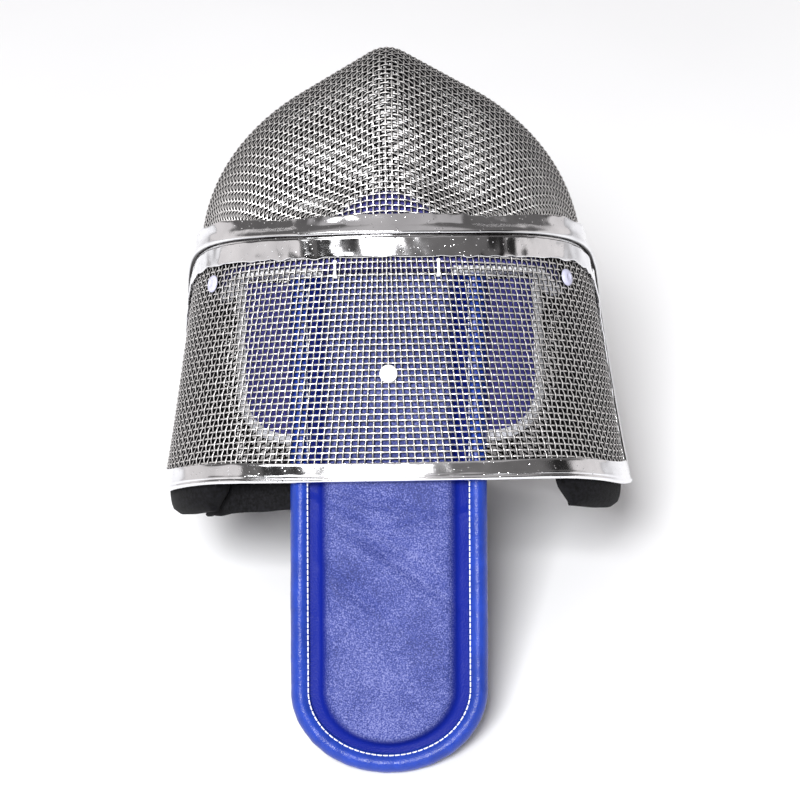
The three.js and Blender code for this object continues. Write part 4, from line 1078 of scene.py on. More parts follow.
class MASK_OT_stage(bpy.types.Operator):
    """Makes the camera, the pale floor and the soft lights"""

    bl_idname = "mask.stage"
    bl_label = "Stage"

    def execute(self, context):
        s = context.scene.mask_stage
        data = bpy.data.cameras.new("photo_camera")
        data.sensor_width = SENSOR_WIDTH
        data.lens = s.focal
        data.clip_end = 50
        camera = bpy.data.objects.new("photo_camera", data)
        context.scene.collection.objects.link(camera)
        mid = s.distance / MM
        pivot = np.array([s.side / MM, 0.0, s.axis_height / MM])
        back = np.array([-math.sin(s.yaw), -math.cos(s.yaw), 0.0])
        eye = placed(pivot + back * mid)
        z = Vector(turned(back)).normalized()
        up = Vector(turned(np.array([0.0, 0.0, 1.0])))
        x = up.cross(z).normalized()
        y = z.cross(x)
        basis = Matrix((x, y, z)).transposed().to_4x4()
        camera.matrix_world = Matrix.Translation(Vector(eye)) @ basis @ Matrix.Rotation(-s.roll, 4, "Z")
        context.scene.camera = camera
        context.scene.view_settings.view_transform = "Standard"
        bpy.ops.mesh.primitive_plane_add(size=FLOOR_SIZE)
        floor = context.object
        floor.name = "floor"
        f = Finish("pale_floor", 0.7)
        f.paint(f.noise(3, 2), [(0.3, (0.86, 0.865, 0.88)), (0.7, (0.9, 0.905, 0.92))])
        floor.data.materials.append(f.material)
        self.room(context, s, turned(back))
        self.light(context, "key", turned(np.array(KEY_PLACE)), KEY_SIZE, s.key)
        self.light(context, "fill", FILL_PLACE, FILL_SIZE, s.fill)
        return {"FINISHED"}

    def room(self, context, s, to_camera):
        """Surrounding light: dark and bright walls, a roof and a bright panel round the camera."""
        world = bpy.data.worlds.new("soft_room")
        context.scene.world = world
        world.use_nodes = True
        tree = world.node_tree
        ground = tree.nodes["Background"]
        ground.inputs["Strength"].default_value = s.sky
        coord = tree.nodes.new("ShaderNodeTexCoord")
        parts = tree.nodes.new("ShaderNodeSeparateXYZ")
        tree.links.new(coord.outputs["Generated"], parts.inputs["Vector"])
        place = self.span(tree, parts.outputs["X"], -1, 1)
        side = self.span(tree, parts.outputs["Y"], -0.05, 0.1)
        walls = self.mixed(tree, side, self.ramp(tree, parts.outputs["Z"], SWEEP_TONES),
                           self.ramp(tree, place, ROOM_TONES))
        roof = self.ramp(tree, parts.outputs["Z"], ROOF_SHARE)
        covered = self.mixed(tree, roof, walls, None, ROOF_TONE)
        facing = tree.nodes.new("ShaderNodeVectorMath")
        facing.operation = "DOT_PRODUCT"
        facing.inputs[1].default_value = to_camera
        tree.links.new(coord.outputs["Generated"], facing.inputs[0])
        spot_share = self.span(tree, facing.outputs["Value"], PANEL_EDGE, PANEL_FULL)
        tree.links.new(self.mixed(tree, spot_share, covered, None, PANEL_TONE), ground.inputs["Color"])

    def span(self, tree, value, low, high):
        """Share of a value between two limits."""
        made = tree.nodes.new("ShaderNodeMapRange")
        made.inputs["From Min"].default_value = low
        made.inputs["From Max"].default_value = high
        tree.links.new(value, made.inputs["Value"])
        return made.outputs["Result"]

    def mixed(self, tree, share, first, second, plain=None):
        """Two tones mixed; the second may be a plain colour."""
        made = tree.nodes.new("ShaderNodeMix")
        made.data_type = "RGBA"
        colours = [i for i in made.inputs if i.type == "RGBA"]
        tree.links.new(share, made.inputs["Factor"])
        tree.links.new(first, colours[0])
        if plain:
            colours[1].default_value = (*plain, 1)
        else:
            tree.links.new(second, colours[1])
        return [o for o in made.outputs if o.type == "RGBA"][0]

    def ramp(self, tree, value, stops):
        """Tones along a value."""
        made = tree.nodes.new("ShaderNodeValToRGB")
        line = made.color_ramp.elements
        while len(line) < len(stops):
            line.new(0.5)
        for item, (place, tone) in zip(line, stops):
            item.position = place
            item.color = (tone, tone * 0.96, tone * 0.95, 1)
        tree.links.new(value, made.inputs["Fac"])
        return made.outputs["Color"]

    def light(self, context, name, place, size, power):
        """A square soft light that looks at the mask."""
        data = bpy.data.lights.new(name, "AREA")
        data.size = size
        data.energy = power
        lamp = bpy.data.objects.new(name, data)
        context.scene.collection.objects.link(lamp)
        lamp.location = place
        aim = Vector(LIGHTS_AIM) - Vector(place)
        lamp.rotation_euler = aim.to_track_quat("-Z", "Y").to_euler()


def grid_normals(points):
    """Directions across a grid at its points."""
    return unit(np.cross(np.gradient(points, axis=1), np.gradient(points, axis=0)))


def runs_of(valid):
    """Start and end of each unbroken stretch of true values."""
    marks = np.flatnonzero(np.diff(np.concatenate([[0], valid.astype(int), [0]])))
    return [(a, b) for a, b in zip(marks[::2], marks[1::2]) if b - a > 2]


def woven(points, out, valid, rows):
    """Lines and ways of the wires along one direction of a half-pitch grid."""
    lines, ways, outs = [], [], []
    count = points.shape[0] if rows else points.shape[1]
    for i in range(0, count, 2):
        line = points[i] if rows else points[:, i]
        push = out[i] if rows else out[:, i]
        keep = valid[i] if rows else valid[:, i]
        k = np.arange(len(line))
        sign = np.where(k % 2 == 0, np.where(((k + i) // 2) % 2 == 0, 1.0, -1.0), 0.0)
        sign = sign if rows else -sign
        for a, b in runs_of(keep):
            lines.append(placed(line[a:b]))
            ways.append(turned(push[a:b]) * sign[a:b, None])
            outs.append(turned(push[a:b]))
    return lines, ways, outs


class MASK_OT_weave(bpy.types.Operator):
    """Weaves the front and back mesh from crimped round wire"""

    bl_idname = "mask.weave"
    bl_label = "Woven meshes"

    def execute(self, context):
        self.size = context.scene.mask_weave
        self.front()
        self.back()
        return {"FINISHED"}

    def make(self, name, woven_lines, *nodes, look="steel_wire"):
        """One piece of wires."""
        w = self.size
        lines, ways, outs = woven_lines
        obj = wires(name, lines, ways, w.diameter / 2, w.crimp, w.sides, finish(look), outs)
        finish_piece(obj, "wire", *nodes)

    def front(self):
        """Front mesh: rows cross the ridge, columns run along it."""
        half = self.size.pitch / MM / 2
        t = np.linspace(0, LAST_PLACE, 4000)
        ridge = raw_front(t, np.zeros_like(t))
        length = run_along(ridge)
        places = np.interp(np.arange(half, length[-1], half), length, t)
        end = row_end(places)
        steps = np.arange(int(end.max() / half) + 2)
        right = front_point(places[:, None], (steps * half)[None, :], end[:, None])
        limit = row_end(places, -0.5, STRIP_THICKNESS + CLEARANCE + 0.3)
        ok = (steps * half)[None, :] <= limit[:, None]
        left = right[:, :0:-1] * [-1, 1, 1]
        points = np.concatenate([left, right], axis=1)
        valid = np.concatenate([ok[:, :0:-1], ok], axis=1)
        if (len(steps) - 1) % 2:
            points, valid = points[:, 1:], valid[:, 1:]
        middle = points.shape[1] // 2
        out = grid_normals(points)
        if out[len(out) // 3, middle, 2] < 0:
            out = -out
        rows = woven(points, out, valid, True)
        cut = len(rows[0]) // 2
        self.make("front_rows_crown", [part[:cut] for part in rows], "front_mesh")
        self.make("front_rows_face", [part[cut:] for part in rows])
        cols = [woven(points[:, a:b], out[:, a:b], valid[:, a:b], False)
                for a, b in ((0, middle + middle % 2), (middle + middle % 2, points.shape[1]))]
        self.make("front_columns_right", cols[0])
        self.make("front_columns_left", cols[1])

    def back(self):
        """Back mesh: level rows that sink a little with depth, and upright columns."""
        half = self.size.pitch / MM / 2
        q = np.linspace(0, 0.985, 3000)
        section = back_point(q, SEAM_HEIGHT / 2)
        length = run_along(section)
        count = int(length[-1] / half)
        share = np.interp(np.arange(-count, count + 1) * half, np.concatenate([-length[:0:-1], length]),
                          np.concatenate([-q[:0:-1], q]))
        if count % 2:
            share = share[1:]
        level = np.arange(1, int(SEAM_HEIGHT / half) + 10) * half
        base = back_point(share[None, :], level[:, None])
        height = level[:, None] - 0.1 * level[:, None] / SEAM_HEIGHT * base[..., 1]
        points = back_point(share[None, :], height)
        valid = (height > STRIP_THICKNESS + CLEARANCE) & (height < seam_height(points[..., 1], -0.6))
        out = grid_normals(points)
        if out[out.shape[0] // 2, out.shape[1] // 2, 1] > 0:
            out = -out
        self.make("back_rows", woven(points, out, valid, True), "back_mesh")
        middle = np.abs(share) < back_share_at_width(SHADED_COLUMNS_HALF_WIDTH)
        # The middle columns get the wire darkened as painted shade
        self.make("back_columns", woven(points, out, valid & middle[None, :], False), look="upright_wire_painted_shade")
        self.make("back_columns_sides", woven(points, out, valid & ~middle[None, :], False))


class MASK_OT_strips(bpy.types.Operator):
    """Makes the bright folded strips of the join and the rear edge, and the grey one at the chin"""

    bl_idname = "mask.strips"
    bl_label = "Strips"

    def execute(self, context):
        self.dent = context.scene.mask_trim.dents / MM
        self.join_band()
        self.rear_band()
        self.front_rim()
        return {"FINISHED"}

    def rise(self, samples, here, tangent, into, out):
        """How far a mesh rises over the flat flange at the flange's edge."""
        away = samples - here
        along = away @ into
        near, lowest = 2.5, -1.5
        close = (along >= near) & (along <= JOIN_FLANGE + 1) & (np.abs(away @ tangent) <= near)
        if not close.any():
            return lowest
        steepest = np.max(CLEARANCE / 2 + (away[close] @ out) * JOIN_FLANGE / along[close])
        return max(lowest, float(steepest))

    def stations(self):
        """Frames of the seam from its middle to its left foot."""
        foot = foot_row()
        count = 70
        t = foot * ((np.arange(count) + 0.6) / (count - 0.4)) ** 2 - 0.01 * (np.arange(count) == count - 1)
        end = row_end(t)
        here = front_point(t, end, end)
        before, after = np.maximum(0, t - 0.02), t + 0.02
        tangent = unit(front_point(after, row_end(after)) - front_point(before, row_end(before)))
        front_out = front_normal(np.maximum(t, 0.02), end)
        front_out = np.where((front_out[:, :1] * here[:, :1] + front_out[:, 2:3]) < 0, -front_out, front_out)
        q = np.linspace(0, 1, 1500)
        share = np.array([np.interp(h[1], back_point(q, h[2])[:, 1], q) for h in here])
        back_out = back_normal(share, here[:, 2])
        back_out = np.where(back_out[:, :1] * here[:, :1] - back_out[:, 1:2] < 0, -back_out, back_out)
        into_front = unit(np.cross(tangent, front_out))
        into_back = unit(np.cross(back_out, tangent))
        return here, tangent, front_out, back_out, into_front, into_back

    def samples(self):
        """Points of the front mesh and of the back mesh."""
        places = np.arange(SAMPLE_PLACE_STEP / 2, SAMPLE_LAST_PLACE, SAMPLE_PLACE_STEP)
        front = np.concatenate([front_point(t, np.arange(0, end, SAMPLE_RUN_STEP), end)
                                for t, end in zip(places, row_end(places))])
        shares, heights = np.meshgrid(np.arange(0, 1, SAMPLE_SHARE_STEP),
                                      np.arange(0, SEAM_HEIGHT, SAMPLE_HEIGHT_STEP))
        return front, back_point(shares.ravel(), heights.ravel())

    def rises(self, samples, here, tangent, into, out):
        """Softened rise of a mesh at each station of the whole seam."""
        rise = np.array([self.rise(samples, *frame) for frame in zip(here, tangent, into, out)])
        padded = np.pad(rise, RISE_BLUR // 2, mode="edge")
        rise = np.convolve(padded, np.ones(RISE_BLUR) / RISE_BLUR, mode="valid")
        return np.concatenate([rise[::-1], rise])

    def both_sides(self, values):
        """Places or directions of the left half, with the right half's before them."""
        return np.concatenate([(values * [-1, 1, 1])[::-1], values])

    def join_band(self):
        """Band over the crown with two flanges and a rolled bead between them."""
        here, tangent, front_out, back_out, into_front, into_back = self.stations()
        for k in range(len(here)):
            if into_back[k, 2] > 0:
                into_back[k] *= -1
            if np.dot(into_front[k], into_back[k]) > 0:
                into_front[k] *= -1
        front_rise, back_rise = (
            self.rises(samples, here, tangent, into, out)
            for samples, into, out in zip(self.samples(), (into_front, into_back), (front_out, back_out)))
        length = run_along(self.both_sides(here))
        at = np.linspace(0, length[-1], int(length[-1] / BAND_STEP))
        spread = lambda a: taken_at(self.both_sides(a), length, at)
        here = spread(here)
        front_out, back_out = unit(spread(front_out)), unit(spread(back_out))
        into_front, into_back = unit(spread(into_front)), unit(spread(into_back))
        front_rise, back_rise = np.interp(at, length, front_rise), np.interp(at, length, back_rise)
        out = unit(front_out + back_out)
        under = HALF_MESH + CLEARANCE
        over = under + STRIP_THICKNESS
        sections = []
        for u, lift in BAND_PROFILE:
            on_front = u > 0
            share = abs(u) / JOIN_FLANGE
            into = into_front if on_front else into_back
            flange = front_out if on_front else back_out
            normal = unit(mix(out, flange, min(1.0, abs(u) / 5.0)))
            rise = (front_rise if on_front else back_rise) * share
            weight = 1.0 if u < 0 or u > 6 else 0.2
            dent = self.dent * (1.4 * ripple(at, u * 1.0, 3, 17) + 0.9 * ripple(at, u * 1.0, 4, 6)) * weight
            dent = dent + self.dent * 0.35 * ripple(at, u * 1.0, 5, 21) * (1 - weight)
            edge = 0.5 * ripple(at, 0.0, 6, 9) * max(0.0, share - 0.8) * 5 * (0.4 if on_front else 1.0)
            along = abs(u) + edge
            sections.append(here + into * along[:, None] + normal * (over + lift + rise + dent)[:, None])
        sections.append(here + out * (under + CLEARANCE))
        grid = np.stack(sections, axis=1)
        points, faces = swept(grid)
        obj = mesh_object("join_band_folded", points, faces, finish("bright_strip"))
        # Points in the crevice under the bead get painted shade
        place = np.array([u for u, _ in BAND_PROFILE] + [BAND_PROFILE[-1][0]])
        crevice_shade = (place > CREVICE_SHADE_FROM) & (place < CREVICE_SHADE_TO)
        point_value(obj, "crevice_shade_share", np.tile(crevice_shade, len(grid)))
        finish_piece(merged(obj), "bright_strip", "join_band")

    def folded(self, base, up, out, height, spread_by, dents):
        """Sections of a strip folded round the lower edge of a mesh."""
        under = HALF_MESH + CLEARANCE
        over = under + STRIP_THICKNESS
        one = np.ones(len(base))
        profile = [(height, under + spread_by), (height + 0.1, over + spread_by - 0.3),
                   (height - 0.5, over + spread_by)]
        for share in (0.85, 0.7, 0.55, 0.42, 0.32):
            profile.append((height * share, over + spread_by * share))
        fold = [(2.2, over + 0.1), (1.9, over - 0.35), (1.6, over + 0.35), (1.0, over + 0.6),
                (0.3, over + 0.45), (-0.3, over - 0.1), (-0.5, over - 0.9), (-0.5, 0.0),
                (-0.3, -over + 0.6), (0.1, -over), (2.0, -over - 0.2),
                (STRIP_INNER_HEIGHT, -over - spread_by), (STRIP_INNER_HEIGHT, -under - spread_by),
                (STRIP_THICKNESS, -under), (STRIP_THICKNESS, under)]
        profile += [(along * one, lift) for along, lift in fold]
        length = run_along(base)
        sections = []
        for k, (along, lift) in enumerate(profile):
            weight = 1.0 if 1 <= k <= 9 else 0.15
            dent = dents * ripple(length, k * 1.5, 11, 13) * weight
            sections.append(base + up * along[:, None] + out * (lift + dent)[:, None])
        return np.stack(sections, axis=1)

    def rear_band(self):
        """Strip over the lower edge of the back mesh."""
        reach = SEAM_REACH - JOIN_FLANGE - STRIP_END_GAP
        straight = (reach - BACK_DEPTH_RIM) / (SEAM_REACH - BACK_DEPTH_RIM)
        foot = BACK_ROUND_SHARE + (1 - BACK_ROUND_SHARE) * straight
        q = np.linspace(-foot, foot, FINE_SAMPLES)
        base = back_point(q, 0)
        length = run_along(base)
        q = np.interp(np.linspace(0, length[-1], int(length[-1] / REAR_STRIP_STEP)), length, q)
        base = back_point(q, 0)
        out = back_normal(q, 1.0)
        out[:, 2] = 0
        out = unit(out)
        out = np.where(out[:, 1:2] * -1 + out[:, :1] * np.sign(base[:, :1]) < 0, -out, out)
        up = unit(back_point(q, 6) - base)
        height = mix(REAR_STRIP_HEIGHT, REAR_STRIP_CORNER_HEIGHT, smooth(np.abs(q) / BACK_ROUND_SHARE))
        grid = self.folded(base, up, out, height, -REAR_STRIP_LEAN, self.dent)
        points, faces = swept(grid)
        finish_piece(merged(mesh_object("rear_band_folded", points, faces, finish("bright_strip"))),
                     "bright_strip", "rear_band")

    def front_rim(self):
        """Strip over the lower edge of the front mesh."""
        low, high = foot_row(), LAST_PLACE
        band_end = SEAM_REACH + JOIN_FLANGE + STRIP_END_GAP
        for _ in range(HALVINGS):
            middle = (low + high) / 2
            depth = raw_front(middle, row_end(middle))[..., 1]
            low, high = (middle, high) if depth < band_end else (low, middle)
        t = np.linspace(low, LAST_PLACE - 0.004, 400)
        end = row_end(t)
        base = front_point(t, end, end)
        out = front_normal(t, end)
        out = np.where(out[:, 1:2] + out[:, :1] < 0, -out, out)
        base, out = mirrored_path(base), mirrored_path(out)
        base[:, 2] = 0
        length = run_along(base)
        at = np.linspace(0, length[-1], int(length[-1] / FRONT_STRIP_STEP))
        base, out = taken_at(base, length, at), unit(taken_at(out, length, at))
        up = unit(np.array([0, 0, 1.0]) - out * out[:, 2:3])
        flat = unit(out * [1, 1, 0])
        height = np.full(len(base), FRONT_STRIP_HEIGHT)
        grid = self.folded(base, up, flat, height, FRONT_STRIP_SPREAD, self.dent)
        points, faces = swept(grid)
        finish_piece(merged(mesh_object("front_rim_folded", points, faces, finish("dull_strip"))),
                     "dull_strip", "front_rim")


def leaned(points):
    """The tongue hangs a little to the left, more towards its tip."""
    points = np.array(points, float)
    points[..., 0] += TONGUE_LEAN * (TONGUE_TOP - points[..., 2]) / (TONGUE_TOP - TONGUE_TIP)
    return points


def tongue_depth(x, height):
    """Depth of the tongue's outer face."""
    kept = np.maximum(TONGUE_CURVE_KEPT, clamp01(1 + np.minimum(0, height) / TONGUE_FLATTEN_LENGTH))
    return TONGUE_SETBACK + back_depth(x, np.maximum(0, height)) * kept


class MASK_OT_tongue(bpy.types.Operator):
    """Makes the padded tongue, its edge roll and its stitches"""

    bl_idname = "mask.tongue"
    bl_label = "Tongue"

    def execute(self, context):
        trim = context.scene.mask_trim
        self.panel(trim)
        self.piping()
        self.stitches(trim)
        return {"FINISHED"}

    def panel(self, trim):
        """Crowned panel that sinks to a groove beside the edge roll."""
        inset = PIPING_WIDTH * PANEL_UNDER_PIPING
        half = TONGUE_HALF_WIDTH - inset
        end_length = TONGUE_END_LENGTH - inset
        start = TONGUE_TIP + TONGUE_END_LENGTH
        rows_side = np.linspace(TONGUE_TOP, start, PANEL_SIDE_ROWS)[:-1]
        angle = np.linspace(0, PANEL_LAST_TURN, PANEL_END_ROWS)
        height = np.concatenate([rows_side, start - end_length * np.sin(angle)])[:, None]
        reach = np.concatenate([np.full(len(rows_side), half), half * np.cos(angle)])[:, None]
        share = np.sin(np.linspace(-1, 1, PANEL_COLUMNS) * math.pi / 2 * PANEL_CROWDING)
        share = share / math.sin(math.pi / 2 * PANEL_CROWDING)
        x = share[None, :] * reach
        past = np.maximum(0, start - height) / end_length
        edge = (1 - np.sqrt((x / half) ** 2 + past ** 2)) * min(half, end_length)
        edge = np.maximum(0, edge)
        depth = tongue_depth(x, height)
        sink = trim.groove / MM * (1 - smooth((edge - GROOVE_FLAT) / GROOVE_RISE))
        sink = sink + PANEL_SETTLE * np.exp(-np.maximum(0, edge - GROOVE_FLAT) / PANEL_SETTLE_LENGTH)
        wave = sum(high * ripple(x, height, seed, size) for high, seed, size in PANEL_WAVES)
        crease = np.zeros_like(depth)
        for cx, ch, way, span, deep in CREASES:
            dx, dh = x - cx, height - ch
            across = -dx * math.sin(way) + dh * math.cos(way)
            along = dx * math.cos(way) + dh * math.sin(way)
            crease = crease + deep * np.exp(-(across / CREASE_HALF_WIDTH) ** 2 - (along / span) ** 2)
        outer = spot(x, depth + sink - wave * smooth(edge / PANEL_EDGE_CALM) * 0.8 + crease, height)
        inner = spot(x, depth + TONGUE_THICKNESS - 0.5 * sink, height)
        points, faces = closed_slab(leaned(outer), leaned(inner))
        obj = mesh_object("tongue_panel", points, faces, finish("blue_leather"))
        # Share of the groove colour near the roll, partly painted shade
        seam = 1 - smooth((edge.ravel() - GROOVE_FLAT - SEAM_TONE_WIDTH) / SEAM_TONE_FADE)
        point_value(obj, "groove_shade_share", np.concatenate([seam, np.ones(edge.size)]))
        finish_piece(obj, "blue_leather", "tongue")

    def piping(self):
        """Rolled edge with small wrinkles where it turns."""
        middle = PIPING_WIDTH / 2
        path = tab_path(TONGUE_HALF_WIDTH - middle, TONGUE_TOP, TONGUE_TIP + middle,
                        TONGUE_END_LENGTH - middle, PIPING_STEP)
        length = np.arange(len(path)) * PIPING_STEP

        def wrinkle(path, angle):
            turn = smooth((PIPING_FOLDS_FROM - path[:, 1:]) / PIPING_FOLDS_FADE)
            size = PIPING_FOLD_STRAIGHT + PIPING_FOLD_END * turn
            fold = ripple(length[:, None], angle[None, :] * 1.5, 31, 7) * size
            slow = PIPING_SLOW_WAVE * ripple(length[:, None], angle[None, :] * 2.0, 32, 28)
            return 1 + fold + slow

        depth_at = lambda x, height: tongue_depth(x, height) + TONGUE_THICKNESS / 2
        sections = oval_bar(path, depth_at, PIPING_WIDTH, TONGUE_THICKNESS, PIPING_SIDES, wrinkle)
        points, faces = swept(leaned(sections))
        obj = mesh_object("tongue_edge_roll", points, faces, finish("blue_edge"))
        finish_piece(obj, "blue_edge", "tongue_piping")

    def stitches(self, trim):
        """Row of stitches along the inner side of the edge roll."""
        inset = TONGUE_HALF_WIDTH - STITCH_HALF_WIDTH
        half, tip = STITCH_HALF_WIDTH, TONGUE_TIP + inset
        step = (trim.stitch_length + trim.stitch_gap) / MM
        path = tab_path(half, TONGUE_TOP - STITCH_TOP_GAP, tip, TONGUE_END_LENGTH - inset, STITCH_STEP)
        per = int(round(step / STITCH_STEP))
        body = int(round(trim.stitch_length / MM / STITCH_STEP))
        side = PIPING_WIDTH / 2
        inward = (TONGUE_HALF_WIDTH - side - half) / side
        lines, ways = [], []
        for k in range(0, len(path) - body, per):
            piece = path[k:k + body + 1:2]
            hump = np.sin(np.linspace(0, math.pi, len(piece))) * STITCH_HUMP
            surface = TONGUE_THICKNESS / 2 * (1 - math.sqrt(1 - inward ** 2))
            depth = tongue_depth(piece[:, 0], piece[:, 1]) + surface - STITCH_SINK - hump
            line = spot(piece[:, 0], depth, piece[:, 1])
            lines.append(placed(leaned(line)))
            ways.append(np.zeros_like(line))
        obj = wires("tongue_stitches", lines, ways, THREAD_RADIUS, 0.0, 6, finish("pale_thread"))
        finish_piece(obj, "pale_binding")


def flap_depth(x, height):
    """Depth of the flap's middle surface."""
    behind = TONGUE_SETBACK + TONGUE_THICKNESS + 2 * PIECE_GAP + BINDING_THICKNESS / 2
    t = smooth((np.abs(x) - TONGUE_HALF_WIDTH) / (FLAP_HALF_WIDTH - TONGUE_HALF_WIDTH))
    return back_depth(x, height) + mix(behind, FLAP_SIDE_SETBACK, t)


class MASK_OT_flap(bpy.types.Operator):
    """Makes the blue flap behind the back mesh and its pale binding"""

    bl_idname = "mask.flap"
    bl_label = "Flap"

    def execute(self, context):
        inset = BINDING_WIDTH * 0.55
        share = np.linspace(0, 1, 46)
        height = mix(FLAP_BOTTOM + inset, FLAP_TOP, share ** 1.5)[:, None]
        above = height - FLAP_BOTTOM - inset
        corner = FLAP_CORNER - inset
        round_off = corner - np.sqrt(np.maximum(0, corner ** 2 - (corner - above) ** 2))
        cut = np.where(above < corner, round_off, 0)
        half = FLAP_HALF_WIDTH + BINDING_WIDTH / 2 - inset - cut
        x = np.linspace(-1, 1, 91)[None, :] * half
        depth = flap_depth(x, height)
        wave = 0.5 * ripple(x, height, 41, 26)
        full = np.broadcast_to(height, x.shape)
        outer = spot(x, depth - FLAP_THICKNESS / 2 - wave * 0.5, full)
        inner = spot(x, depth + FLAP_THICKNESS / 2 - wave * 0.5, full)
        points, faces = closed_slab(outer, inner)
        pad = mesh_object("back_flap", points, faces, finish("blue_cloth"))
        finish_piece(pad, "blue_cloth", "back_pad")
        low = FLAP_BOTTOM + BINDING_WIDTH / 2
        radius = FLAP_CORNER - BINDING_WIDTH / 2
        side = np.linspace(FLAP_TOP, low + radius, 60)[:-1]
        angle = np.linspace(0, math.pi / 2, 60)[:-1]
        bottom = np.linspace(-FLAP_HALF_WIDTH + radius, 0, 60)
        px = np.concatenate([np.full(len(side), -FLAP_HALF_WIDTH),
                             -FLAP_HALF_WIDTH + radius * (1 - np.cos(angle)), bottom])
        ph = np.concatenate([side, low + radius * (1 - np.sin(angle)), np.full(len(bottom), low)])
        half_path = np.stack([px, ph], axis=-1)
        path = even(np.concatenate([half_path, (half_path * [-1, 1])[-2::-1]]), 1.6)
        sections = oval_bar(path, flap_depth, BINDING_WIDTH, BINDING_THICKNESS, 14)
        points, faces = swept(sections)
        tape = mesh_object("back_flap_binding", points, faces, finish("pale_binding"))
        finish_piece(tape, "pale_binding", "back_pad_binding")
        return {"FINISHED"}


def front_depth(x, height):
    """Depth of the front mesh above the seam, read off a dense grid of its points."""
    t = np.linspace(0, 2, 161)[:, None]
    run = np.linspace(0, CROWN_HALF_WIDTH * 1.6, 241)[None, :]
    p = raw_front(t, np.broadcast_to(run, (161, 241)))
    out = np.empty(x.shape)
    for k in np.ndindex(x.shape):
        heights = np.array([np.interp(x[k], row[:, 0], row[:, 2]) for row in p])
        depths = np.array([np.interp(x[k], row[:, 0], row[:, 1]) for row in p])
        first = int(np.argmax(heights >= height[k])) if (heights >= height[k]).any() else len(heights) - 1
        first = max(1, first)
        lo, hi = heights[first - 1], heights[first]
        f = 0 if hi == lo else (height[k] - lo) / (hi - lo)
        out[k] = mix(depths[first - 1], depths[first], min(1, max(0, f)))
    return out


class MASK_OT_crown(bpy.types.Operator):
    """Makes the blue pad along the crown with its binding"""

    bl_idname = "mask.crown"
    bl_label = "Crown pad"

    def execute(self, context):
        columns, rows = 73, 13
        angle = np.linspace(-1, 1, columns) * math.asin(CROWN_PAD_HALF_WIDTH / CROWN_HALF_WIDTH)
        x = CROWN_HALF_WIDTH * np.sin(angle)[None, :]
        side = np.abs(x) / CROWN_PAD_HALF_WIDTH
        dome = smooth(1 - np.abs(x) / CROWN_PAD_DOME_HALF_WIDTH)
        past_flap = np.abs(x) - FLAP_HALF_WIDTH - BINDING_WIDTH / 2
        past = smooth(past_flap / (CROWN_PAD_HALF_WIDTH - FLAP_HALF_WIDTH))
        bottom = CROWN_PAD_BOTTOM - CROWN_PAD_SIDE_DROP * past
        top = mix(CROWN_PAD_SIDE_TOP - CROWN_PAD_SIDE_FALL * side ** 4, CROWN_PAD_TOP, dome)
        height = mix(bottom, top, np.linspace(0, 1, rows)[:, None])
        x = np.broadcast_to(x, height.shape)
        back = back_depth(x, np.minimum(height, SEAM_HEIGHT))
        above = height - seam_height(back) > 0
        depth = back.copy()
        depth[above] = np.maximum(back[above], front_depth(np.abs(x[above]), height[above]))
        wall = spot(x, depth, height)
        out = np.broadcast_to(spot(np.sin(angle), -np.cos(angle), 0 * angle)[None], wall.shape)
        pad = cushion("crown_band_pad", wall, out, CROWN_PAD_SETBACK, CROWN_PAD_THICKNESS,
                      finish("blue_cloth"), bulge=PAD_BULGE, thin=0.35)
        finish_piece(pad, "blue_cloth", "crown_pad")
        for sign, name in ((1, "left"), (-1, "right")):
            keep = (sign * x[0] > CROWN_TAPE_FROM) & (sign * x[0] < CROWN_TAPE_TO)
            middle = wall[0][keep] - out[0][keep] * (CROWN_PAD_SETBACK + CROWN_PAD_THICKNESS / 2 - 0.4)
            middle[:, 2] += CROWN_TAPE_RISE
            turn = np.arange(14) / 14 * 2 * math.pi
            across = out[0][keep][:, None] * (np.cos(turn) * CROWN_TAPE_HALF_DEPTH)[None, :, None]
            upward = (np.sin(turn) * CROWN_TAPE_HALF_HEIGHT)[None, :, None] * np.array([0, 0, 1.0])
            points, faces = swept(middle[:, None] + across + upward)
            tape = mesh_object(f"crown_pad_binding_{name}", points, faces, finish("pale_binding"))
            finish_piece(tape, "pale_binding")
        return {"FINISHED"}


class MASK_OT_cheeks(bpy.types.Operator):
    """Makes the black pads below the rear corners"""

    bl_idname = "mask.cheeks"
    bl_label = "Cheek pads"

    def execute(self, context):
        share = (CHEEK_PAD_REACH - BACK_DEPTH_RIM) / (SEAM_REACH - BACK_DEPTH_RIM)
        last = BACK_ROUND_SHARE + (1 - BACK_ROUND_SHARE) * share
        height = np.linspace(CHEEK_PAD_BOTTOM, CHEEK_PAD_TOP, 33)[:, None]
        slant = smooth((height - FLAP_BOTTOM) / (CHEEK_PAD_TOP - FLAP_BOTTOM))
        width = mix(CHEEK_PAD_REAR_HALF_WIDTH, CHEEK_PAD_TOP_HALF_WIDTH, slant)
        width = width + CHEEK_PAD_SLANT * smooth(height / CHEEK_PAD_BOTTOM)
        first = np.array([back_share_at_width(w) for w in width[:, 0]])[:, None]
        q = mix(first, last, np.linspace(0, 1, 35)[None, :])
        on_wall = np.maximum(0, height)
        wall = back_point(q, np.broadcast_to(on_wall, q.shape))
        wall[..., 2] = height
        out = back_normal(q, np.maximum(1, np.broadcast_to(on_wall, q.shape)))
        out[..., 2] = 0
        out = unit(out)
        out = np.where(out[..., :1] < 0, -out, out)
        for sign, name in ((1, "left"), (-1, "right")):
            flip = np.array([sign, 1, 1])
            pad = cushion(f"cheek_pad_soft_{name}", wall * flip, out * flip, CHEEK_PAD_SETBACK,
                          CHEEK_PAD_THICKNESS, finish("black_foam"), bulge=PAD_BULGE, thin=0.3)
            finish_piece(pad, "black_foam", f"cheek_pad_{name}")
        return {"FINISHED"}


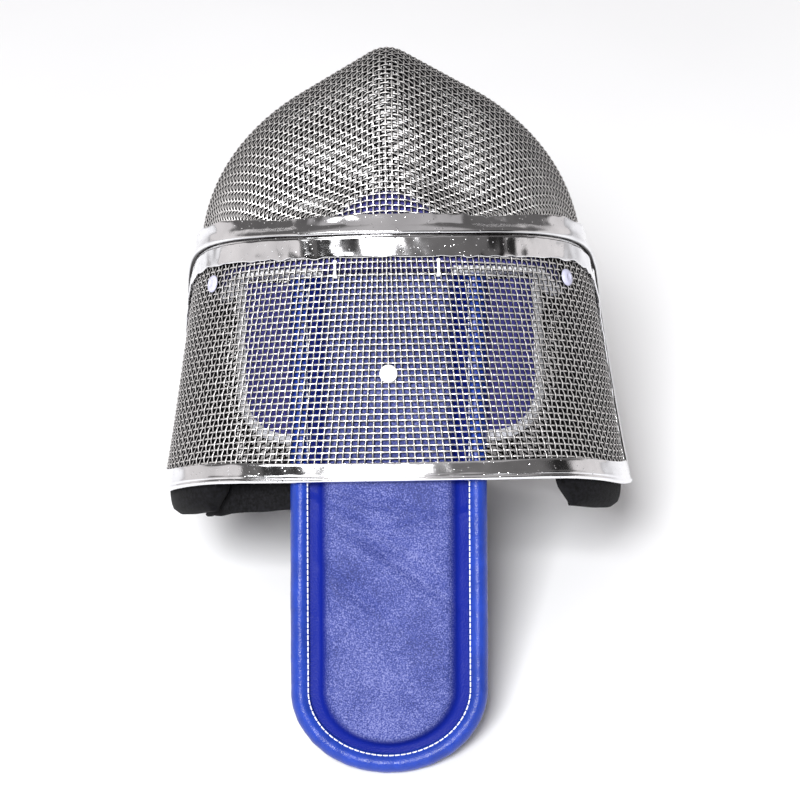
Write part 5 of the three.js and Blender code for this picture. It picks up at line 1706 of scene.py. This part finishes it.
class MASK_OT_strap(bpy.types.Operator):
    """Makes the black ribbed elastic strap with its wavy lower edge"""

    bl_idname = "mask.strap"
    bl_label = "Strap"

    def execute(self, context):
        steps, step_length = 97, 1.3
        share = np.linspace(0, 1, steps)
        top = STRAP_BOTTOM + STRAP_WIDTH
        setback = CHEEK_PAD_SETBACK + CHEEK_PAD_THICKNESS + PIECE_GAP + STRAP_THICKNESS / 2
        q = mix(back_share_at_width(STRAP_OUTER_END), back_share_at_width(STRAP_LEAVES_PAD),
                np.minimum(1, share / STRAP_ON_PAD))
        out = back_normal(q, top)
        out[:, 2] = 0
        out = unit(out)
        out = np.where(out[:, :1] < 0, -out, out)
        pad = back_point(q, top) - out * setback
        across = (share - STRAP_ON_PAD) / (1 - STRAP_ON_PAD)
        x = mix(pad[:, 0], -STRAP_INNER_END, across)
        behind = TONGUE_SETBACK + TONGUE_THICKNESS + 2 * PIECE_GAP + STRAP_THICKNESS / 2
        tongue_back = behind + back_depth(np.minimum(x, TONGUE_HALF_WIDTH), top)
        free = clamp01((x - TONGUE_HALF_WIDTH) / (pad[:, 0] - TONGUE_HALF_WIDTH))
        on_pad = share <= STRAP_ON_PAD
        px = np.where(on_pad, pad[:, 0], x)
        depth = np.where(on_pad, pad[:, 1], mix(tongue_back, pad[:, 1], free))
        line = np.stack([px, depth], axis=-1)
        way = unit(np.gradient(line, axis=0))
        side = np.stack([-way[:, 1], way[:, 0]], axis=-1)
        rows = np.linspace(0, 1, 25)[:, None]
        length = np.arange(steps)[None, :] * step_length
        wavy = STRAP_WAVE * ripple(length, 0.0, 51, 22) * (1 - rows)
        height = STRAP_BOTTOM + rows * STRAP_WIDTH + wavy
        rib = STRAP_RIB * np.cos(rows * STRAP_RIBS * 2 * math.pi)
        place = lambda lift: spot(line[None, :, 0] + side[None, :, 0] * lift,
                                  line[None, :, 1] + side[None, :, 1] * lift, height)
        outer = place(STRAP_THICKNESS / 2 + rib)
        inner = place(-STRAP_THICKNESS / 2 - rib)
        points, faces = closed_slab(outer, inner)
        strap = mesh_object("strap_elastic", points, faces, finish("black_elastic"))
        finish_piece(strap, "black_elastic", "strap_left")
        return {"FINISHED"}


class MASK_OT_hardware(bpy.types.Operator):
    """Makes the white rivets and the bright spring hooks"""

    bl_idname = "mask.hardware"
    bl_label = "Rivets and hooks"

    def execute(self, context):
        self.rivet("rivet_back", 0.0, RIVET_BACK_HEIGHT)
        self.rivet("rivet_left", RIVET_SIDE_HALF_WIDTH, RIVET_SIDE_HEIGHT)
        self.rivet("rivet_right", -RIVET_SIDE_HALF_WIDTH, RIVET_SIDE_HEIGHT)
        for sign, name in ((1, "left"), (-1, "right")):
            self.hook(sign, name)
        return {"FINISHED"}

    def rivet(self, node, x, height):
        """Domed head with a small dimple."""
        base = spot(x, back_depth(x, height), height)
        q = np.linspace(0, 1, 1500)
        share = float(np.interp(base[1], back_point(q, height)[:, 1], q))
        out = np.array([0.0, -1.0, 0.0]) if x == 0 else back_normal(max(share, 0.001), height)
        if x:
            out = out * (1 if out[0] > 0 else -1)
            out = out * [math.copysign(1, x), 1, 1]
        seat = base + out * (HALF_MESH + CLEARANCE)
        a = unit(np.cross([0.0, 0.0, 1.0], out))
        b = np.cross(out, a)
        turn = np.arange(40) / 40 * 2 * math.pi
        ring = np.cos(turn)[:, None] * a + np.sin(turn)[:, None] * b
        sections = np.stack([seat + ring * max(RIVET_HOLE_RADIUS, RIVET_RADIUS * r) + out * lift
                             for r, lift in RIVET_PROFILE])
        points, faces = swept(sections)
        # The side rivets get the darker copy of the white plastic as painted shade
        obj = mesh_object(node + "_head", points, faces, finish("white_plastic_painted_shade" if x else "white_plastic"))
        finish_piece(obj, "white_plastic", node)

    def hook(self, sign, name):
        """Bent wire that grips the spring at the band."""
        x, top = HOOK_HALF_SPACING, HOOK_TOP
        depth = float(back_depth(x, top))
        q = np.linspace(0, 1, 1500)
        share = float(np.interp(depth, back_point(q, top)[:, 1], q))
        out = back_normal(share, top)
        out[2] = 0
        out = unit(out)
        out = out * (1 if out[1] < 0 else -1)
        lift = HALF_MESH + CLEARANCE + HOOK_RADIUS
        low = spot(x, depth, top - HOOK_LENGTH) + out * lift
        line = []
        for k in np.linspace(0, 1, 24):
            curl = -out * lift * 0.8 * max(0.0, (0.18 - k) / 0.18) ** 2
            line.append(low + np.array([0, 0, HOOK_LENGTH * k]) + curl)
        line = np.array(line) * [sign, 1, 1]
        share = np.linspace(0, 1, len(line))
        knot = sum(np.exp(-((share - end) / 0.07) ** 2) for end in (0.09, 0.91))
        turn = np.arange(14) / 14 * 2 * math.pi
        across = np.array([1.0, 0, 0])
        ring = np.cos(turn)[:, None] * across + np.sin(turn)[:, None] * np.cross([0.0, 0, 1], across)
        radius = 0.75 * HOOK_RADIUS + 0.4 * knot
        points, faces = swept(line[:, None] + ring[None] * radius[:, None, None])
        # The bright metal hooks get the white plastic finish: a painted highlight in place of the metal's
        # reflection
        obj = mesh_object(f"spring_hook_bar_{name}", points, faces, finish("white_plastic"))
        finish_piece(obj, "bright_strip", f"spring_hook_{name}")


class MASK_PT_panel(bpy.types.Panel):
    """Lists the mask's pieces"""

    bl_label = "Fencing mask"
    bl_idname = "MASK_PT_panel"
    bl_space_type = "VIEW_3D"
    bl_region_type = "UI"
    bl_category = "Mask"

    def draw(self, context):
        for operator in OPERATORS:
            self.layout.operator(operator.bl_idname)
        for group in (context.scene.mask_weave, context.scene.mask_colours,
                      context.scene.mask_trim, context.scene.mask_stage):
            box = self.layout.box()
            for name in group.__annotations__:
                box.prop(group, name)


GROUPS = {"mask_weave": MaskWeave, "mask_colours": MaskColours, "mask_trim": MaskTrim,
          "mask_stage": MaskStage}
OPERATORS = (MASK_OT_stage, MASK_OT_weave, MASK_OT_strips, MASK_OT_tongue, MASK_OT_flap, MASK_OT_crown,
             MASK_OT_cheeks, MASK_OT_strap, MASK_OT_hardware)


def register():
    """Adds the classes and their settings."""
    for cls in (*GROUPS.values(), *OPERATORS, MASK_PT_panel):
        bpy.utils.register_class(cls)
    for name, group in GROUPS.items():
        setattr(bpy.types.Scene, name, bpy.props.PointerProperty(type=group))


def unregister():
    """Takes the classes and their settings away."""
    for name in GROUPS:
        delattr(bpy.types.Scene, name)
    for cls in reversed((*GROUPS.values(), *OPERATORS, MASK_PT_panel)):
        bpy.utils.unregister_class(cls)


def main():
    """Registers the add-on and makes every piece in order."""
    register()
    bpy.ops.mask.stage()
    bpy.ops.mask.weave()
    bpy.ops.mask.strips()
    bpy.ops.mask.tongue()
    bpy.ops.mask.flap()
    bpy.ops.mask.crown()
    bpy.ops.mask.cheeks()
    bpy.ops.mask.strap()
    bpy.ops.mask.hardware()


if __name__ == "__main__":
    main()
